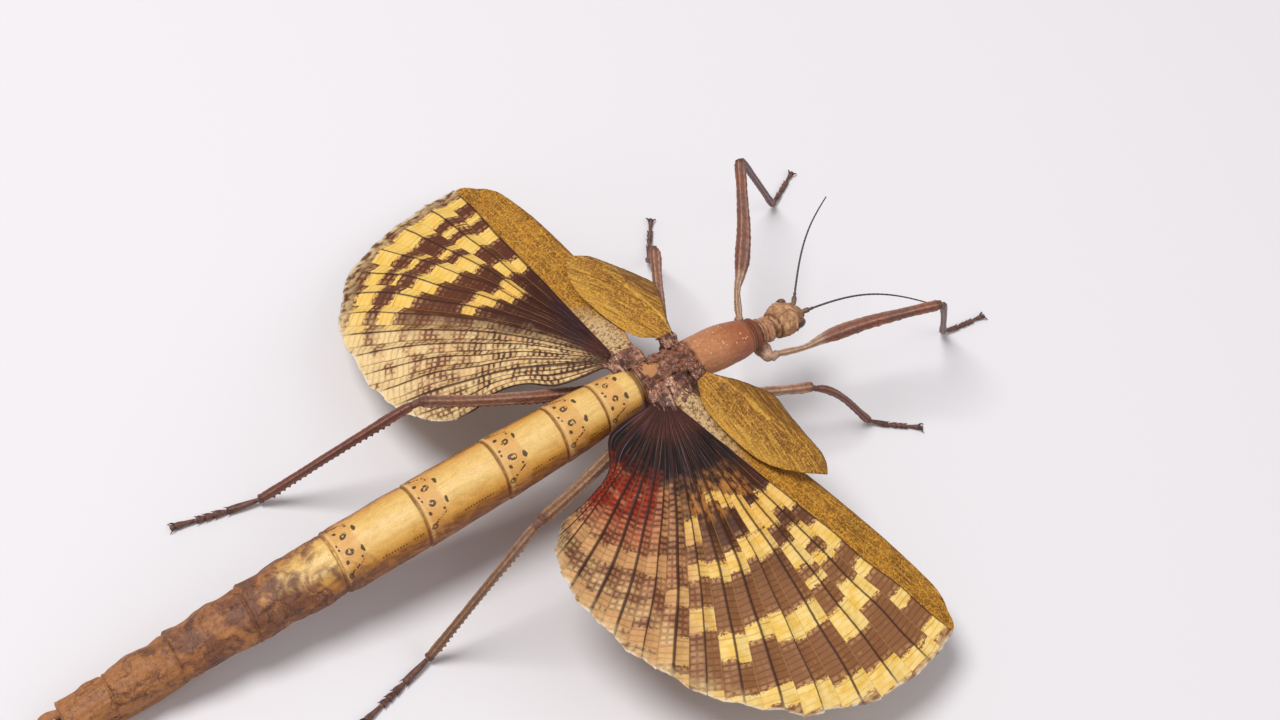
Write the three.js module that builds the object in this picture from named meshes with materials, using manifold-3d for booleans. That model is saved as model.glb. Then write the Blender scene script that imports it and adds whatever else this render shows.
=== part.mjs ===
// Giant winged stick insect, a grown female, standing on six feet and the tip of her tail
// with both pairs of wings spread. Millimetres: +X is the head end, +Y her left side, +Z up.
// Until the last lines the floor is z = 0 and x = 0 is the hind edge of the middle thorax.
import * as THREE from 'three';
import { mergeVertices } from 'three/addons/utils/BufferGeometryUtils.js';
import Module from 'manifold-3d';

const wasm = await Module();
wasm.setup();

// ---- Driving dimensions ----------------------------------------------------------------

const gap = 0.3; // clear space between two neighbouring pieces
const bodySides = 20;
const limbSides = 8;
const footSides = 6;

// The body's middle line and girth: x, height of the centre, half width, half height.
const bodyLine = [
  [24, 24.0, 2.2, 2.2],
  [18, 26.1, 3.0, 3.1],
  [13, 27.1, 4.1, 4.0],
  [7, 27.9, 4.6, 4.3],
  [0, 28.4, 4.2, 4.3],
  [-5, 28.4, 4.5, 4.4],
  [-12, 27.8, 4.8, 4.5],
  [-30, 24.5, 6.2, 5.4],
  [-60, 18.9, 6.9, 5.8],
  [-80, 15.2, 6.7, 5.6],
  [-100, 11.4, 5.9, 4.9],
  [-115, 8.6, 5.2, 4.3],
  [-128, 6.3, 4.6, 3.7],
  [-138, 4.9, 3.5, 2.8],
];

const pronotumSpan = [21.3, 17.9];
const mesothoraxSpan = [17.6, 0.15];
const metathoraxSpan = [-0.15, -12.1];
const abdomenEnds = [-12.4, -21.5, -31.3, -44.8, -62.5, -80.5, -99.2, -114.8, -127.9, -137.5];
const firstTergite = 2;

const operculum = { front: -104, back: -143, halfWidth: 4.1, top: 3.4, sole: 0 };
const cercus = { root: [-137.9, 1.9, 5.1], length: 4.6, width: 1.0, height: 0.55, heading: 172, rise: -8 };

const head = { neck: [22.1, 0.3, 24.3], turn: 10, nod: 9, length: 8.7 };
const eye = { centre: [5.9, 3.2, 0.9], radius: 1.15, length: 1.35 };
const mouth = { length: 1.9, width: 2.0, height: 1.7 };
const antenna = { root: [8.5, 1.35, 1.35], length: 28, radius: 0.42, tip: 0.26 };

// Legs. hip: x, distance outward, height. Headings turn outward from straight ahead, rises
// lift from level, both in degrees.
const legLengths = {
  fore: { femur: 38, tibia: 35, tarsus: 11.4 },
  mid: { femur: 26.8, tibia: 24.3, tarsus: 11.8 },
  hind: { femur: 46.4, tibia: 43.8, tarsus: 18.2 },
};
const stances = {
  fore_left: { hip: [17.2, 4.3, 23.2], femur: [58, 13.5], tibia: 7.5, tarsus: 31 },
  fore_right: { hip: [18.3, 4.8, 23.4], femur: [17, 14], tibia: -23.5, tarsus: 3 },
  mid_left: { hip: [-0.8, 5.7, 23.6], femur: [61, -1.5], tibia: 49, tarsus: 54 },
  mid_right: { hip: [-0.8, 5.7, 23.6], femur: [18, -8.5], tibia: 20, tarsus: 34 },
  hind_left: { hip: [-10.5, 4.0, 21.6], femur: [165.5, 14.2], tibia: 160, tarsus: 170 },
  hind_right: { hip: [-10.5, 4.0, 21.6], femur: [156, 23.5], tibia: 180.5, tarsus: 163 },
};
const ankleHeight = 1.75;
const coxaRoot = 1.7;
const hipBall = 1.0;
const kneeReach = 1.25;
const claw = { length: 1.9, radius: 0.3, spread: 34 };

// Half width and half height along a femur or tibia: share of the length, half width, half height.
const femurForms = {
  fore: [[0, 0.6, 0.6], [0.05, 0.75, 0.75], [0.17, 0.62, 0.68], [0.26, 1.0, 1.15], [0.36, 1.5, 1.6],
    [0.55, 1.4, 1.5], [0.8, 1.1, 1.2], [0.94, 1.1, 1.2], [1, 0.75, 0.85]],
  mid: [[0, 0.7, 0.7], [0.08, 0.95, 1.0], [0.35, 1.15, 1.25], [0.75, 1.0, 1.05], [0.93, 1.15, 1.2],
    [1, 0.75, 0.8]],
  hind: [[0, 0.8, 0.8], [0.08, 1.1, 1.2], [0.3, 1.3, 1.4], [0.7, 1.1, 1.2], [0.94, 1.15, 1.2],
    [1, 0.75, 0.8]],
};
const tibiaForms = {
  fore: [[0, 0.5, 0.55], [0.05, 0.7, 0.85], [0.35, 0.62, 0.75], [0.8, 0.65, 0.75], [0.95, 0.85, 0.85],
    [1, 0.6, 0.6]],
  mid: [[0, 0.5, 0.55], [0.06, 0.75, 0.85], [0.35, 0.65, 0.75], [0.8, 0.65, 0.75], [0.95, 0.85, 0.85],
    [1, 0.6, 0.6]],
  hind: [[0, 0.6, 0.65], [0.05, 0.95, 1.1], [0.35, 0.85, 0.95], [0.8, 0.85, 0.95], [0.96, 0.95, 1.0],
    [1, 0.7, 0.7]],
};
// Curve of a femur: share of the length, shift towards the head's side, shift upward. The thin
// base of a front femur curves out round the head.
const femurBends = {
  fore: [[0, 0, 0], [0.14, -0.55, 0], [0.3, 0.35, 0], [0.5, 0.9, 0], [0.8, 0.5, 0], [1, 0, 0]],
  mid: [[0, 0, 0], [0.5, 0, -0.6], [1, 0, 0]],
  hind: [[0, 0, 0], [0.3, 0, -1.7], [0.55, 0, -1.9], [0.8, 0, -1.0], [1, 0, 0]],
};
const tarsusJoints = [0, 0.4, 0.54, 0.64, 0.73, 1]; // ends of its five joints
const tarsusGirth = { fore: 0.46, mid: 0.46, hind: 0.56 };
const tarsusStart = 1.15; // how far past the ankle a foot begins
const tarsusWaist = 0.72; // girth at the start of each joint, as a share
const tarsusRaise = { height: 1.15, fall: 3.2 }; // the first joint slopes down from the ankle
const soleCut = 0.5; // a foot's middle line lies this share of its girth above the floor

// Hind wings. apex: x, distance outward, height of the point where the fan's ribs meet.
// border is the heading of the rib that bounds the leathery strip, forward from straight
// out. The ribs sweep back from it to analEdge, which depends on the distance from the
// apex so that the fan passes beside the hind femur. droop is the fall of the ribs, and ribs
// their lengths, both by the rib's share of the way from the border to the anal edge.
const wingSheet = 0.6;
const wingRoot = 2.2;
const hindWings = {
  left: {
    side: 1,
    apex: [-13.3, 5.7, 30.6],
    border: 3,
    analEdge: [[2, -84], [13, -80], [18.5, -71], [25, -71], [30, -76], [36, -78]],
    droop: [[0, 21.8], [0.35, 20.5], [0.7, 17], [1, 13]],
    stripLift: 2.6,
    ribs: [[0, 73.8], [0.1, 72.6], [0.21, 71.3], [0.31, 70], [0.42, 67.8], [0.55, 62.5], [0.66, 56.8],
      [0.78, 50.8], [0.88, 45.6], [0.95, 41], [1, 35.5]],
  },
  right: {
    side: -1,
    apex: [-9.8, 6.0, 31.0],
    border: 24,
    analEdge: [[2, -86], [14, -82], [20, -66], [27, -64], [42, -69]],
    droop: [[0, 13.8], [0.35, 11.5], [0.7, 8], [0.88, 3], [1, -2]],
    stripLift: -2.6,
    ribs: [[0, 75], [0.1, 74.6], [0.21, 72.8], [0.31, 69.8], [0.42, 65.4], [0.55, 59.6], [0.66, 54.4],
      [0.78, 49.4], [0.88, 45.8], [0.95, 41.5], [1, 36.5]],
  },
};
const stripWidth = [[0, 4.6], [0.12, 6.4], [0.35, 8.3], [0.66, 8.4], [0.85, 7.2], [0.95, 5.6], [1, 3.4]];
const stripShare = 1 / 6; // share of the wing's columns that the strip takes
const wingColumns = 18;
const wingRows = [0, 0.12, 0.22, 0.34, 0.5, 0.66, 0.81, 0.93, 1];

// Fore wings: short leathery leaves. axis is the heading of the leaf's middle line.
const foreWings = {
  left: { side: 1, root: [-1.4, 5.7, 31.5], axis: -3, droop: 14.5 },
  right: { side: -1, root: [-0.6, 5.6, 31.5], axis: 24, droop: 11 },
};
const foreWingLength = 31.8;
const foreWingSheet = 0.65;
const foreWingLead = [[0, 0.5], [0.12, 2.2], [0.27, 4.3], [0.46, 5.9], [0.55, 5.7], [0.7, 3.9],
  [0.86, 1.8], [0.96, 0.2], [1, -0.9]];
const foreWingTrail = [[0, 1.0], [0.06, 3.6], [0.14, 6.4], [0.3, 8.0], [0.5, 8.1], [0.66, 7.4],
  [0.82, 5.6], [0.92, 4.1], [1, 2.4]];
const foreWingHump = 1.7;
const foreWingColumns = 6;
const foreWingRows = 10;

// ---- Helpers ---------------------------------------------------------------------------

const radians = THREE.MathUtils.degToRad;
const lerp = THREE.MathUtils.lerp;

// Value number `column` of a table of stops at `place`, along a smooth line through the stops.
function along(stops, place, column = 1) {
  const rising = stops[0][0] < stops[stops.length - 1][0];
  const table = rising ? stops : [...stops].reverse();
  const last = table.length - 1;
  const spot = THREE.MathUtils.clamp(place, table[0][0], table[last][0]);
  const next = Math.max(1, table.findIndex((stop) => stop[0] >= spot));
  const slope = (i) => {
    const before = table[Math.max(0, i - 1)];
    const after = table[Math.min(last, i + 1)];
    return (after[column] - before[column]) / (after[0] - before[0]);
  };
  const [a, b] = [table[next - 1], table[next]];
  const step = b[0] - a[0];
  const t = (spot - a[0]) / step;
  const pull = (slope(next - 1) * (1 - t) - slope(next) * t) * step * t * (1 - t);
  const blend = t * t * (3 - 2 * t);
  return a[column] + (b[column] - a[column]) * blend + pull;
}

// A closed mesh with one vertex at each corner.
function welded(geometry) {
  geometry.deleteAttribute('normal');
  geometry.deleteAttribute('uv');
  return mergeVertices(geometry, 1e-4);
}

// A closed tube: a cylinder with a ring of points at each of `steps` (0 to 1), each point
// moved by place(step, across, upward).
function tube(sides, steps, place) {
  const rows = steps.length - 1;
  const geometry = new THREE.CylinderGeometry(1, 1, 1, sides, rows);
  const corners = geometry.attributes.position;
  for (let i = 0; i < corners.count; i += 1) {
    const step = steps[Math.round((corners.getY(i) + 0.5) * rows)];
    const spot = place(step, corners.getX(i), corners.getZ(i));
    corners.setXYZ(i, spot.x, spot.y, spot.z);
  }
  return welded(geometry);
}

// A closed sheet of even thickness about the surface(u, v), with columns along u and rows along v.
function sheet(columns, rows, thickness, surface) {
  const vSteps = rows.length - 1;
  const geometry = new THREE.BoxGeometry(1, 1, 1, columns, vSteps, 1);
  const corners = geometry.attributes.position;
  const step = 0.004;
  for (let i = 0; i < corners.count; i += 1) {
    const u = corners.getX(i) + 0.5;
    const v = rows[Math.round((corners.getY(i) + 0.5) * vSteps)];
    const [u0, v0] = [Math.min(Math.max(u, step), 1 - step), Math.min(Math.max(v, step), 1 - step)];
    const alongU = surface(u0 + step, v0).sub(surface(u0 - step, v0));
    const alongV = surface(u0, v0 + step).sub(surface(u0, v0 - step));
    const normal = alongU.cross(alongV).normalize();
    const spot = surface(u, v).addScaledVector(normal, corners.getZ(i) * thickness);
    corners.setXYZ(i, spot.x, spot.y, spot.z);
  }
  return welded(geometry);
}

function evenSteps(count) {
  return Array.from({ length: count + 1 }, (_, i) => i / count);
}

// Unit vector for a heading turned outward from straight ahead and a rise, on either side.
function aim(heading, rise, side) {
  const level = Math.cos(radians(rise));
  return new THREE.Vector3(
    Math.cos(radians(heading)) * level,
    side * Math.sin(radians(heading)) * level,
    Math.sin(radians(rise)),
  );
}

// A limb from one point to another, with the girth of its form: share, half width, half height.
// bend(share) gives its shifts across and upward.
function limb(from, to, form, bend = () => [0, 0]) {
  const line = new THREE.Vector3().subVectors(to, from);
  const forward = line.clone().normalize();
  const across = new THREE.Vector3().crossVectors(forward, new THREE.Vector3(0, 0, 1)).normalize();
  const upward = new THREE.Vector3().crossVectors(across, forward);
  const steps = form.map((stop) => stop[0]);
  return tube(limbSides, steps, (share, x, z) => {
    const [, halfWidth, halfHeight] = form.find((stop) => stop[0] === share);
    const [sideways, lift] = bend(share);
    return from.clone()
      .addScaledVector(line, share)
      .addScaledVector(across, x * halfWidth + sideways)
      .addScaledVector(upward, z * halfHeight + lift);
  });
}

function toSolid(geometry) {
  return new wasm.Manifold(new wasm.Mesh({
    numProp: 3,
    vertProperties: geometry.attributes.position.array,
    triVerts: new Uint32Array(geometry.index.array),
  }));
}

function fromSolid(solid) {
  const { vertProperties, triVerts } = solid.getMesh();
  const geometry = new THREE.BufferGeometry();
  geometry.setAttribute('position', new THREE.BufferAttribute(vertProperties, 3));
  geometry.setIndex(new THREE.BufferAttribute(triVerts, 1));
  return geometry;
}

// ---- Materials and the tree ------------------------------------------------------------

const finishes = {
  thorax: new THREE.MeshStandardMaterial({ color: 0x96603c, roughness: 0.55, metalness: 0 }),
  head: new THREE.MeshStandardMaterial({ color: 0xb08a5a, roughness: 0.6, metalness: 0 }),
  eye: new THREE.MeshStandardMaterial({ color: 0x2c1a16, roughness: 0.2, metalness: 0 }),
  antenna: new THREE.MeshStandardMaterial({ color: 0x4a4040, roughness: 0.6, metalness: 0 }),
  abdomen: new THREE.MeshStandardMaterial({ color: 0xc79a45, roughness: 0.5, metalness: 0 }),
  leg: new THREE.MeshStandardMaterial({ color: 0x8a5a48, roughness: 0.6, metalness: 0 }),
  foot: new THREE.MeshStandardMaterial({ color: 0x4c3434, roughness: 0.6, metalness: 0 }),
  foreWing: new THREE.MeshStandardMaterial({ color: 0x9a7a2c, roughness: 0.5, metalness: 0 }),
  hindWing: new THREE.MeshStandardMaterial({ color: 0xa88444, roughness: 0.45, metalness: 0 }),
};

const insect = new THREE.Group();

function add(name, geometry, finish, parent = insect) {
  const mesh = new THREE.Mesh(geometry, finishes[finish]);
  mesh.name = name;
  parent.add(mesh);
  return mesh;
}

// ---- Body ------------------------------------------------------------------------------

function bodyAt(x) {
  return { centre: along(bodyLine, x, 1), halfWidth: along(bodyLine, x, 2), halfHeight: along(bodyLine, x, 3) };
}

// A length of the body from x = front to x = back. form(share) scales its girth, and spare
// is added all round.
function bodyLength(front, back, steps, form, spare = 0) {
  return tube(bodySides, steps, (share, across, upward) => {
    const x = lerp(front, back, share);
    const { centre, halfWidth, halfHeight } = bodyAt(x);
    const scale = form(share);
    return new THREE.Vector3(
      x,
      across * (halfWidth * scale + spare),
      centre + upward * (halfHeight * scale + spare),
    );
  });
}

// A tergite ring: slightly narrow where it slips under the ring ahead, with a raised hind rim.
const ringForm = [[0, 0.94], [0.1, 0.985], [0.5, 1.0], [0.86, 0.995], [0.95, 1.03], [1, 1.0]];
const ringSteps = [0, 0.1, 0.5, 0.86, 0.95, 1];

add('pronotum', bodyLength(...pronotumSpan, [0, 0.2, 0.55, 0.85, 1],
  (share) => along([[0, 0.96], [0.2, 1.06], [0.55, 0.98], [0.85, 0.96], [1, 0.9]], share)), 'thorax');
add('mesothorax', bodyLength(...mesothoraxSpan, [0, 0.05, 0.12, 0.28, 0.45, 0.62, 0.8, 0.93, 1],
  (share) => along([[0, 0.98], [0.05, 1.06], [0.12, 1.0], [0.8, 1.0], [1, 0.95]], share)), 'thorax');
add('metathorax', bodyLength(...metathoraxSpan, [0, 0.12, 0.35, 0.55, 0.78, 0.92, 1],
  (share) => along([[0, 0.95], [0.12, 1.0], [0.55, 0.97], [0.92, 1.02], [1, 0.97]], share)), 'thorax');

abdomenEnds.slice(1).forEach((end, i) => {
  const front = abdomenEnds[i] - (i === 0 ? 0 : gap);
  add(`abdomen_${firstTergite + i}`, bodyLength(front, end, ringSteps, (share) => along(ringForm, share)),
    'abdomen');
});

// The operculum is a boat-shaped plate that wraps the underside of the last rings and is
// flat below, where the tail rests on the floor.
function operculumShape() {
  const { front, back, halfWidth, top, sole } = operculum;
  const keel = [[0, 0.25], [0.15, 0.75], [0.5, 1.0], [0.8, 0.85], [1, 0.3]];
  const boat = tube(bodySides, evenSteps(8), (share, across, upward) => {
    const x = lerp(front, back, share);
    const lift = along([[0, 5.6], [0.3, 2.6], [0.6, 1.2], [0.85, 1.0], [1, 1.4]], share);
    const depth = along([[0, 0.9], [0.3, 1.9], [0.6, 1.6], [0.85, 1.2], [1, 0.5]], share);
    const rim = upward > 0 ? top * along(keel, share) : depth;
    return new THREE.Vector3(x, across * halfWidth * along(keel, share), Math.max(sole, lift + upward * rim));
  });
  const belly = bodyLength(front + 8, back - 6, evenSteps(7), () => 1.03, gap);
  return fromSolid(toSolid(boat).subtract(toSolid(belly)));
}
add('operculum', operculumShape(), 'abdomen');

for (const [word, side] of [['left', 1], ['right', -1]]) {
  const [x, outward, height] = cercus.root;
  const root = new THREE.Vector3(x, side * outward, height);
  const tip = root.clone().addScaledVector(aim(cercus.heading, cercus.rise, side), cercus.length);
  const form = [[0, 0.6], [0.3, 1.0], [0.7, 0.85], [1, 0.35]]
    .map(([share, scale]) => [share, cercus.width * scale, cercus.height * Math.max(scale, 0.6)]);
  add(`cercus_${word}`, limb(root, tip, form), 'abdomen');
}

// ---- Head ------------------------------------------------------------------------------

const headGroup = new THREE.Group();
headGroup.position.set(...head.neck);
headGroup.rotation.set(0, radians(head.nod), radians(head.turn), 'ZYX');
insect.add(headGroup);

// Share of the head's length from the neck, height of the centre, half width, half height.
const headForm = [[0, 0.0, 1.9, 1.8], [0.08, 0.05, 2.8, 2.5], [0.25, 0.15, 3.5, 3.0], [0.45, 0.15, 3.7, 3.15],
  [0.65, 0.0, 3.45, 3.0], [0.82, -0.35, 2.95, 2.6], [0.94, -0.75, 2.4, 2.1], [1, -0.95, 2.0, 1.75]];

function headShape(spare = 0) {
  return tube(bodySides, headForm.map((stop) => stop[0]), (share, across, upward) => {
    const [, centre, halfWidth, halfHeight] = headForm.find((stop) => stop[0] === share);
    return new THREE.Vector3(
      share * head.length + (share === 1 ? spare : 0),
      -across * (halfWidth + spare),
      centre + upward * (halfHeight + spare),
    );
  });
}

add('head', headShape(), 'head', headGroup);
const headRoom = toSolid(headShape(gap));

// The mouthparts continue the face forward and down.
const mouthStart = head.length + gap;
add('mouthparts', tube(12, [0, 0.35, 0.75, 1], (share, across, upward) => {
  const scale = along([[0, 0.9], [0.35, 1.0], [0.75, 0.75], [1, 0.4]], share);
  return new THREE.Vector3(
    mouthStart + share * mouth.length,
    -across * mouth.width * scale,
    -1.15 - 0.9 * share + upward * mouth.height * scale,
  );
}), 'head', headGroup);

for (const [word, side] of [['left', 1], ['right', -1]]) {
  const [x, outward, height] = eye.centre;
  const ball = new THREE.SphereGeometry(eye.radius, 12, 8);
  ball.rotateX(-side * Math.PI / 2);
  ball.scale(eye.length, 1, 1);
  ball.translate(x, side * outward, height);
  add(`eye_${word}`, fromSolid(toSolid(welded(ball)).subtract(headRoom)), 'eye', headGroup);
}

// Each feeler leaves the brow, rises, and trails forward in a long shallow curve.
const feelers = {
  left: { side: 1, heading: 41, sway: 1.7 },
  right: { side: -1, heading: 27, sway: 2.0 },
};
for (const [word, { side, heading, sway }] of Object.entries(feelers)) {
  const [x, outward, height] = antenna.root;
  const root = headGroup.localToWorld(new THREE.Vector3(x, side * outward, height));
  const away = aim(heading, 0, side);
  const across = new THREE.Vector3(-away.y, away.x, 0);
  const middle = (share) => root.clone()
    .addScaledVector(away, share * antenna.length)
    .addScaledVector(across, sway * Math.sin(Math.PI * share))
    .add(new THREE.Vector3(0, 0, 2.2 * share + 2.2 * Math.sin(Math.PI * share)));
  add(`antenna_${word}`, tube(6, evenSteps(14), (share, wide, high) => {
    const ahead = middle(share + 0.01).sub(middle(share - 0.01)).normalize();
    const sideways = new THREE.Vector3().crossVectors(ahead, new THREE.Vector3(0, 0, 1)).normalize();
    const upward = new THREE.Vector3().crossVectors(sideways, ahead);
    const scape = share < 0.05 ? 1.5 : 1;
    const radius = lerp(antenna.radius, antenna.tip, share) * scape;
    return middle(share).addScaledVector(sideways, wide * radius).addScaledVector(upward, high * radius);
  }), 'antenna');
}

// ---- Legs ------------------------------------------------------------------------------

// Tarsus: five joints, each widening to its end, flat below where it lies on the floor, with
// two curved claws at its tip.
function tarsusShape(ankle, heading, side, pair) {
  const length = legLengths[pair].tarsus;
  const girth = tarsusGirth[pair];
  const ahead = aim(heading, 0, side);
  const across = new THREE.Vector3().crossVectors(ahead, new THREE.Vector3(0, 0, 1));
  const steps = [];
  for (const [i, end] of tarsusJoints.slice(1).entries()) {
    const start = tarsusJoints[i];
    steps.push(start + 0.012, lerp(start, end, 0.8), end - 0.012);
  }
  const foot = tube(footSides, steps, (share, x, z) => {
    const joint = tarsusJoints.findIndex((end) => end > share) - 1;
    const within = (share - tarsusJoints[joint]) / (tarsusJoints[joint + 1] - tarsusJoints[joint]);
    const swell = tarsusWaist + 0.5 * Math.min(1, within * 1.25) - (within > 0.9 ? 0.3 : 0);
    const radius = girth * swell;
    const lift = Math.max(radius * soleCut, tarsusRaise.height - tarsusRaise.fall * share);
    return new THREE.Vector3(ankle.x, ankle.y, 0)
      .addScaledVector(ahead, lerp(tarsusStart, length, share))
      .addScaledVector(across, x * radius * 1.15)
      .setZ(Math.max(0, lift + z * radius));
  });
  const tip = new THREE.Vector3(ankle.x, ankle.y, girth).addScaledVector(ahead, length - 0.45);
  const claws = [-1, 1].map((way) => toSolid(tube(4, evenSteps(2), (share, x, z) => {
    const turn = radians(way * claw.spread * (0.6 + 0.4 * share));
    const away = ahead.clone().applyAxisAngle(new THREE.Vector3(0, 0, 1), turn);
    const sideways = new THREE.Vector3().crossVectors(away, new THREE.Vector3(0, 0, 1));
    const radius = claw.radius * (1 - 0.6 * share);
    return tip.clone()
      .addScaledVector(away, share * claw.length)
      .addScaledVector(sideways, x * radius)
      .setZ(Math.max(0, tip.z + 0.25 * Math.sin(Math.PI * share) - 0.12 * share + z * radius));
  })));
  return fromSolid(claws.reduce((whole, part) => whole.add(part), toSolid(foot)));
}

for (const [name, stance] of Object.entries(stances)) {
  const pair = name.split('_')[0];
  const side = name.endsWith('left') ? 1 : -1;
  const { femur, tibia } = legLengths[pair];
  const [x, outward, height] = stance.hip;
  const hip = new THREE.Vector3(x, side * outward, height);

  // Coxa: from the thorax wall to the hip, on the line out from the body's centre.
  const { centre, halfWidth, halfHeight } = bodyAt(x);
  const out = new THREE.Vector3(0, hip.y, height - centre);
  const wall = out.length() / Math.hypot(out.y / halfWidth, out.z / halfHeight);
  out.normalize();
  const coxaStart = new THREE.Vector3(x, 0, centre).addScaledVector(out, wall * 1.06 + gap);
  const coxaEnd = hip.clone().addScaledVector(out, hipBall * 0.75);
  const coxaForm = [[0, coxaRoot, coxaRoot], [0.35, coxaRoot * 0.92, coxaRoot * 0.92],
    [0.75, hipBall * 1.15, hipBall * 1.15], [1, hipBall * 0.7, hipBall * 0.7]];
  add(`coxa_${name}`, limb(coxaStart, coxaEnd, coxaForm), 'leg');

  const femurAim = aim(...stance.femur, side);
  const knee = hip.clone().addScaledVector(femurAim, femur);
  const femurStart = hip.clone().addScaledVector(femurAim, hipBall * 1.5 + gap);
  const bend = (share) => [side * along(femurBends[pair], share, 1), along(femurBends[pair], share, 2)];
  add(`femur_${name}`, limb(femurStart, knee, femurForms[pair], bend), 'leg');

  const fall = THREE.MathUtils.radToDeg(Math.asin((ankleHeight - knee.z) / tibia));
  const tibiaAim = aim(stance.tibia, fall, side);
  const ankle = knee.clone().addScaledVector(tibiaAim, tibia);
  const tibiaStart = knee.clone().addScaledVector(tibiaAim, kneeReach);
  add(`tibia_${name}`, limb(tibiaStart, ankle, tibiaForms[pair]), 'leg');

  add(`tarsus_${name}`, tarsusShape(ankle, stance.tarsus, side, pair), 'foot');
}

// ---- Wings -----------------------------------------------------------------------------

// Hind wing: u runs from the leading edge to the anal edge, v from the root to the margin.
// The fan's ribs radiate from the apex; the strip lies ahead of the border rib.
function hindWingSurface({ side, apex, border, analEdge, droop, stripLift, ribs }) {
  const [apexX, apexOut, apexUp] = apex;
  const rib = (share, v) => {
    const reach = lerp(wingRoot, along(ribs, share), v);
    const heading = radians(lerp(border, along(analEdge, reach), share));
    const fall = radians(along(droop, share));
    const level = reach * Math.cos(fall);
    return new THREE.Vector3(
      apexX + level * Math.sin(heading),
      side * (apexOut + level * Math.cos(heading)),
      apexUp - reach * Math.sin(fall),
    );
  };
  const forward = new THREE.Vector3(Math.cos(radians(border)), -side * Math.sin(radians(border)), 0);
  return (u, v) => {
    if (u >= stripShare) return rib((u - stripShare) / (1 - stripShare), v);
    const ahead = 1 - u / stripShare;
    const width = along(stripWidth, v);
    return rib(0, v)
      .addScaledVector(forward, ahead * width)
      .add(new THREE.Vector3(0, 0, ahead * stripLift * width / stripWidth[3][1] * Math.min(1, v * 3)));
  };
}

// Fore wing: a blunt leaf with a hump along its main vein, u from trailing to leading edge.
function foreWingSurface({ side, root, axis, droop }) {
  const [rootX, rootOut, rootUp] = root;
  return (u, v) => {
    const offset = lerp(-along(foreWingTrail, v), along(foreWingLead, v), u);
    const level = foreWingLength * v * Math.cos(radians(droop));
    const hump = foreWingHump * Math.exp(-(((offset - 1) / 3.4) ** 2)) * Math.sin(Math.PI * v) ** 0.7;
    return new THREE.Vector3(
      rootX + level * Math.sin(radians(axis)) + offset * Math.cos(radians(axis)),
      side * (rootOut + level * Math.cos(radians(axis)) - offset * Math.sin(radians(axis))),
      rootUp - foreWingLength * v * Math.sin(radians(droop)) + hump,
    );
  };
}

for (const word of ['left', 'right']) {
  add(`hind_wing_${word}`, sheet(wingColumns, wingRows, wingSheet, hindWingSurface(hindWings[word])), 'hindWing');
  add(`fore_wing_${word}`, sheet(foreWingColumns, evenSteps(foreWingRows), foreWingSheet,
    foreWingSurface(foreWings[word])), 'foreWing');
}

// ---- Place: the middle of the footprint at x = y = 0, the soles at z = 0 -------------------

insect.updateMatrixWorld(true);
const bounds = new THREE.Box3().setFromObject(insect, true);
const middle = bounds.getCenter(new THREE.Vector3());
const group = new THREE.Group();
insect.position.set(-middle.x, -middle.y, -bounds.min.z);
group.add(insect);

export default group;
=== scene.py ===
import math
from functools import partialmethod
from types import SimpleNamespace
import bpy
import numpy as np
from mathutils import Matrix, Vector

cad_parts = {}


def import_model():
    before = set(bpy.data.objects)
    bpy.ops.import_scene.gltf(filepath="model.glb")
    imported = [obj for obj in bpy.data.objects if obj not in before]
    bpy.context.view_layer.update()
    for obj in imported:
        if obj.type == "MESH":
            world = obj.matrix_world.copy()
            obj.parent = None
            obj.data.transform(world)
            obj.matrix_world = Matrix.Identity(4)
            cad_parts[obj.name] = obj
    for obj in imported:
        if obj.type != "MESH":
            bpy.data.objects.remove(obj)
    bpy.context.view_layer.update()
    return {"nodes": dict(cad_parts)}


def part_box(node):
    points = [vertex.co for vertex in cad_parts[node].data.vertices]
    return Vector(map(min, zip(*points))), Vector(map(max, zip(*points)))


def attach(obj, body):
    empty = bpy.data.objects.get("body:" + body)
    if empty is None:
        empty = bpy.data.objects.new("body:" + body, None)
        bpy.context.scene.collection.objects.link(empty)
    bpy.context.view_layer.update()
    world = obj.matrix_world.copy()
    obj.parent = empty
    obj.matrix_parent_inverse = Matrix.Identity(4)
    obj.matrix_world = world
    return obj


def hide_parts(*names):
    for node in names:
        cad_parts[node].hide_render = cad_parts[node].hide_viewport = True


# Giant winged stick insect, a grown female with her wings spread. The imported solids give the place
# and girth of every limb and ring. Lengths below are millimetres unless a note says otherwise.
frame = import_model()
nodes = frame["nodes"]
mm = 0.001
upward = np.array([0, 0, 1])
seeded = np.random.default_rng
rng = seeded(11)

sides = {"left": 1, "right": -1}
legNames = [f"{pair}_{word}" for pair in ("fore", "mid", "hind") for word in sides]

print("Stage: reading the frame")


# Vertices of a CAD node in millimetres, one row each, doubles merged.
def nodePoints(name):
    mesh = nodes[name].data
    points = np.empty(len(mesh.vertices) * 3, np.float32)
    mesh.vertices.foreach_get("co", points)
    return np.unique(np.round(points.reshape(-1, 3).astype(float) / mm, 4), axis=0)


# The insect's own origin, from which wings, head and camera are placed: on the floor under her middle
# line, just behind the middle thorax.
def bodyOrigin():
    low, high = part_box("mesothorax")
    return np.array([low[0] / mm - 0.15, (low[1] + high[1]) / 2 / mm, 0])


origin = bodyOrigin()


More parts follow.
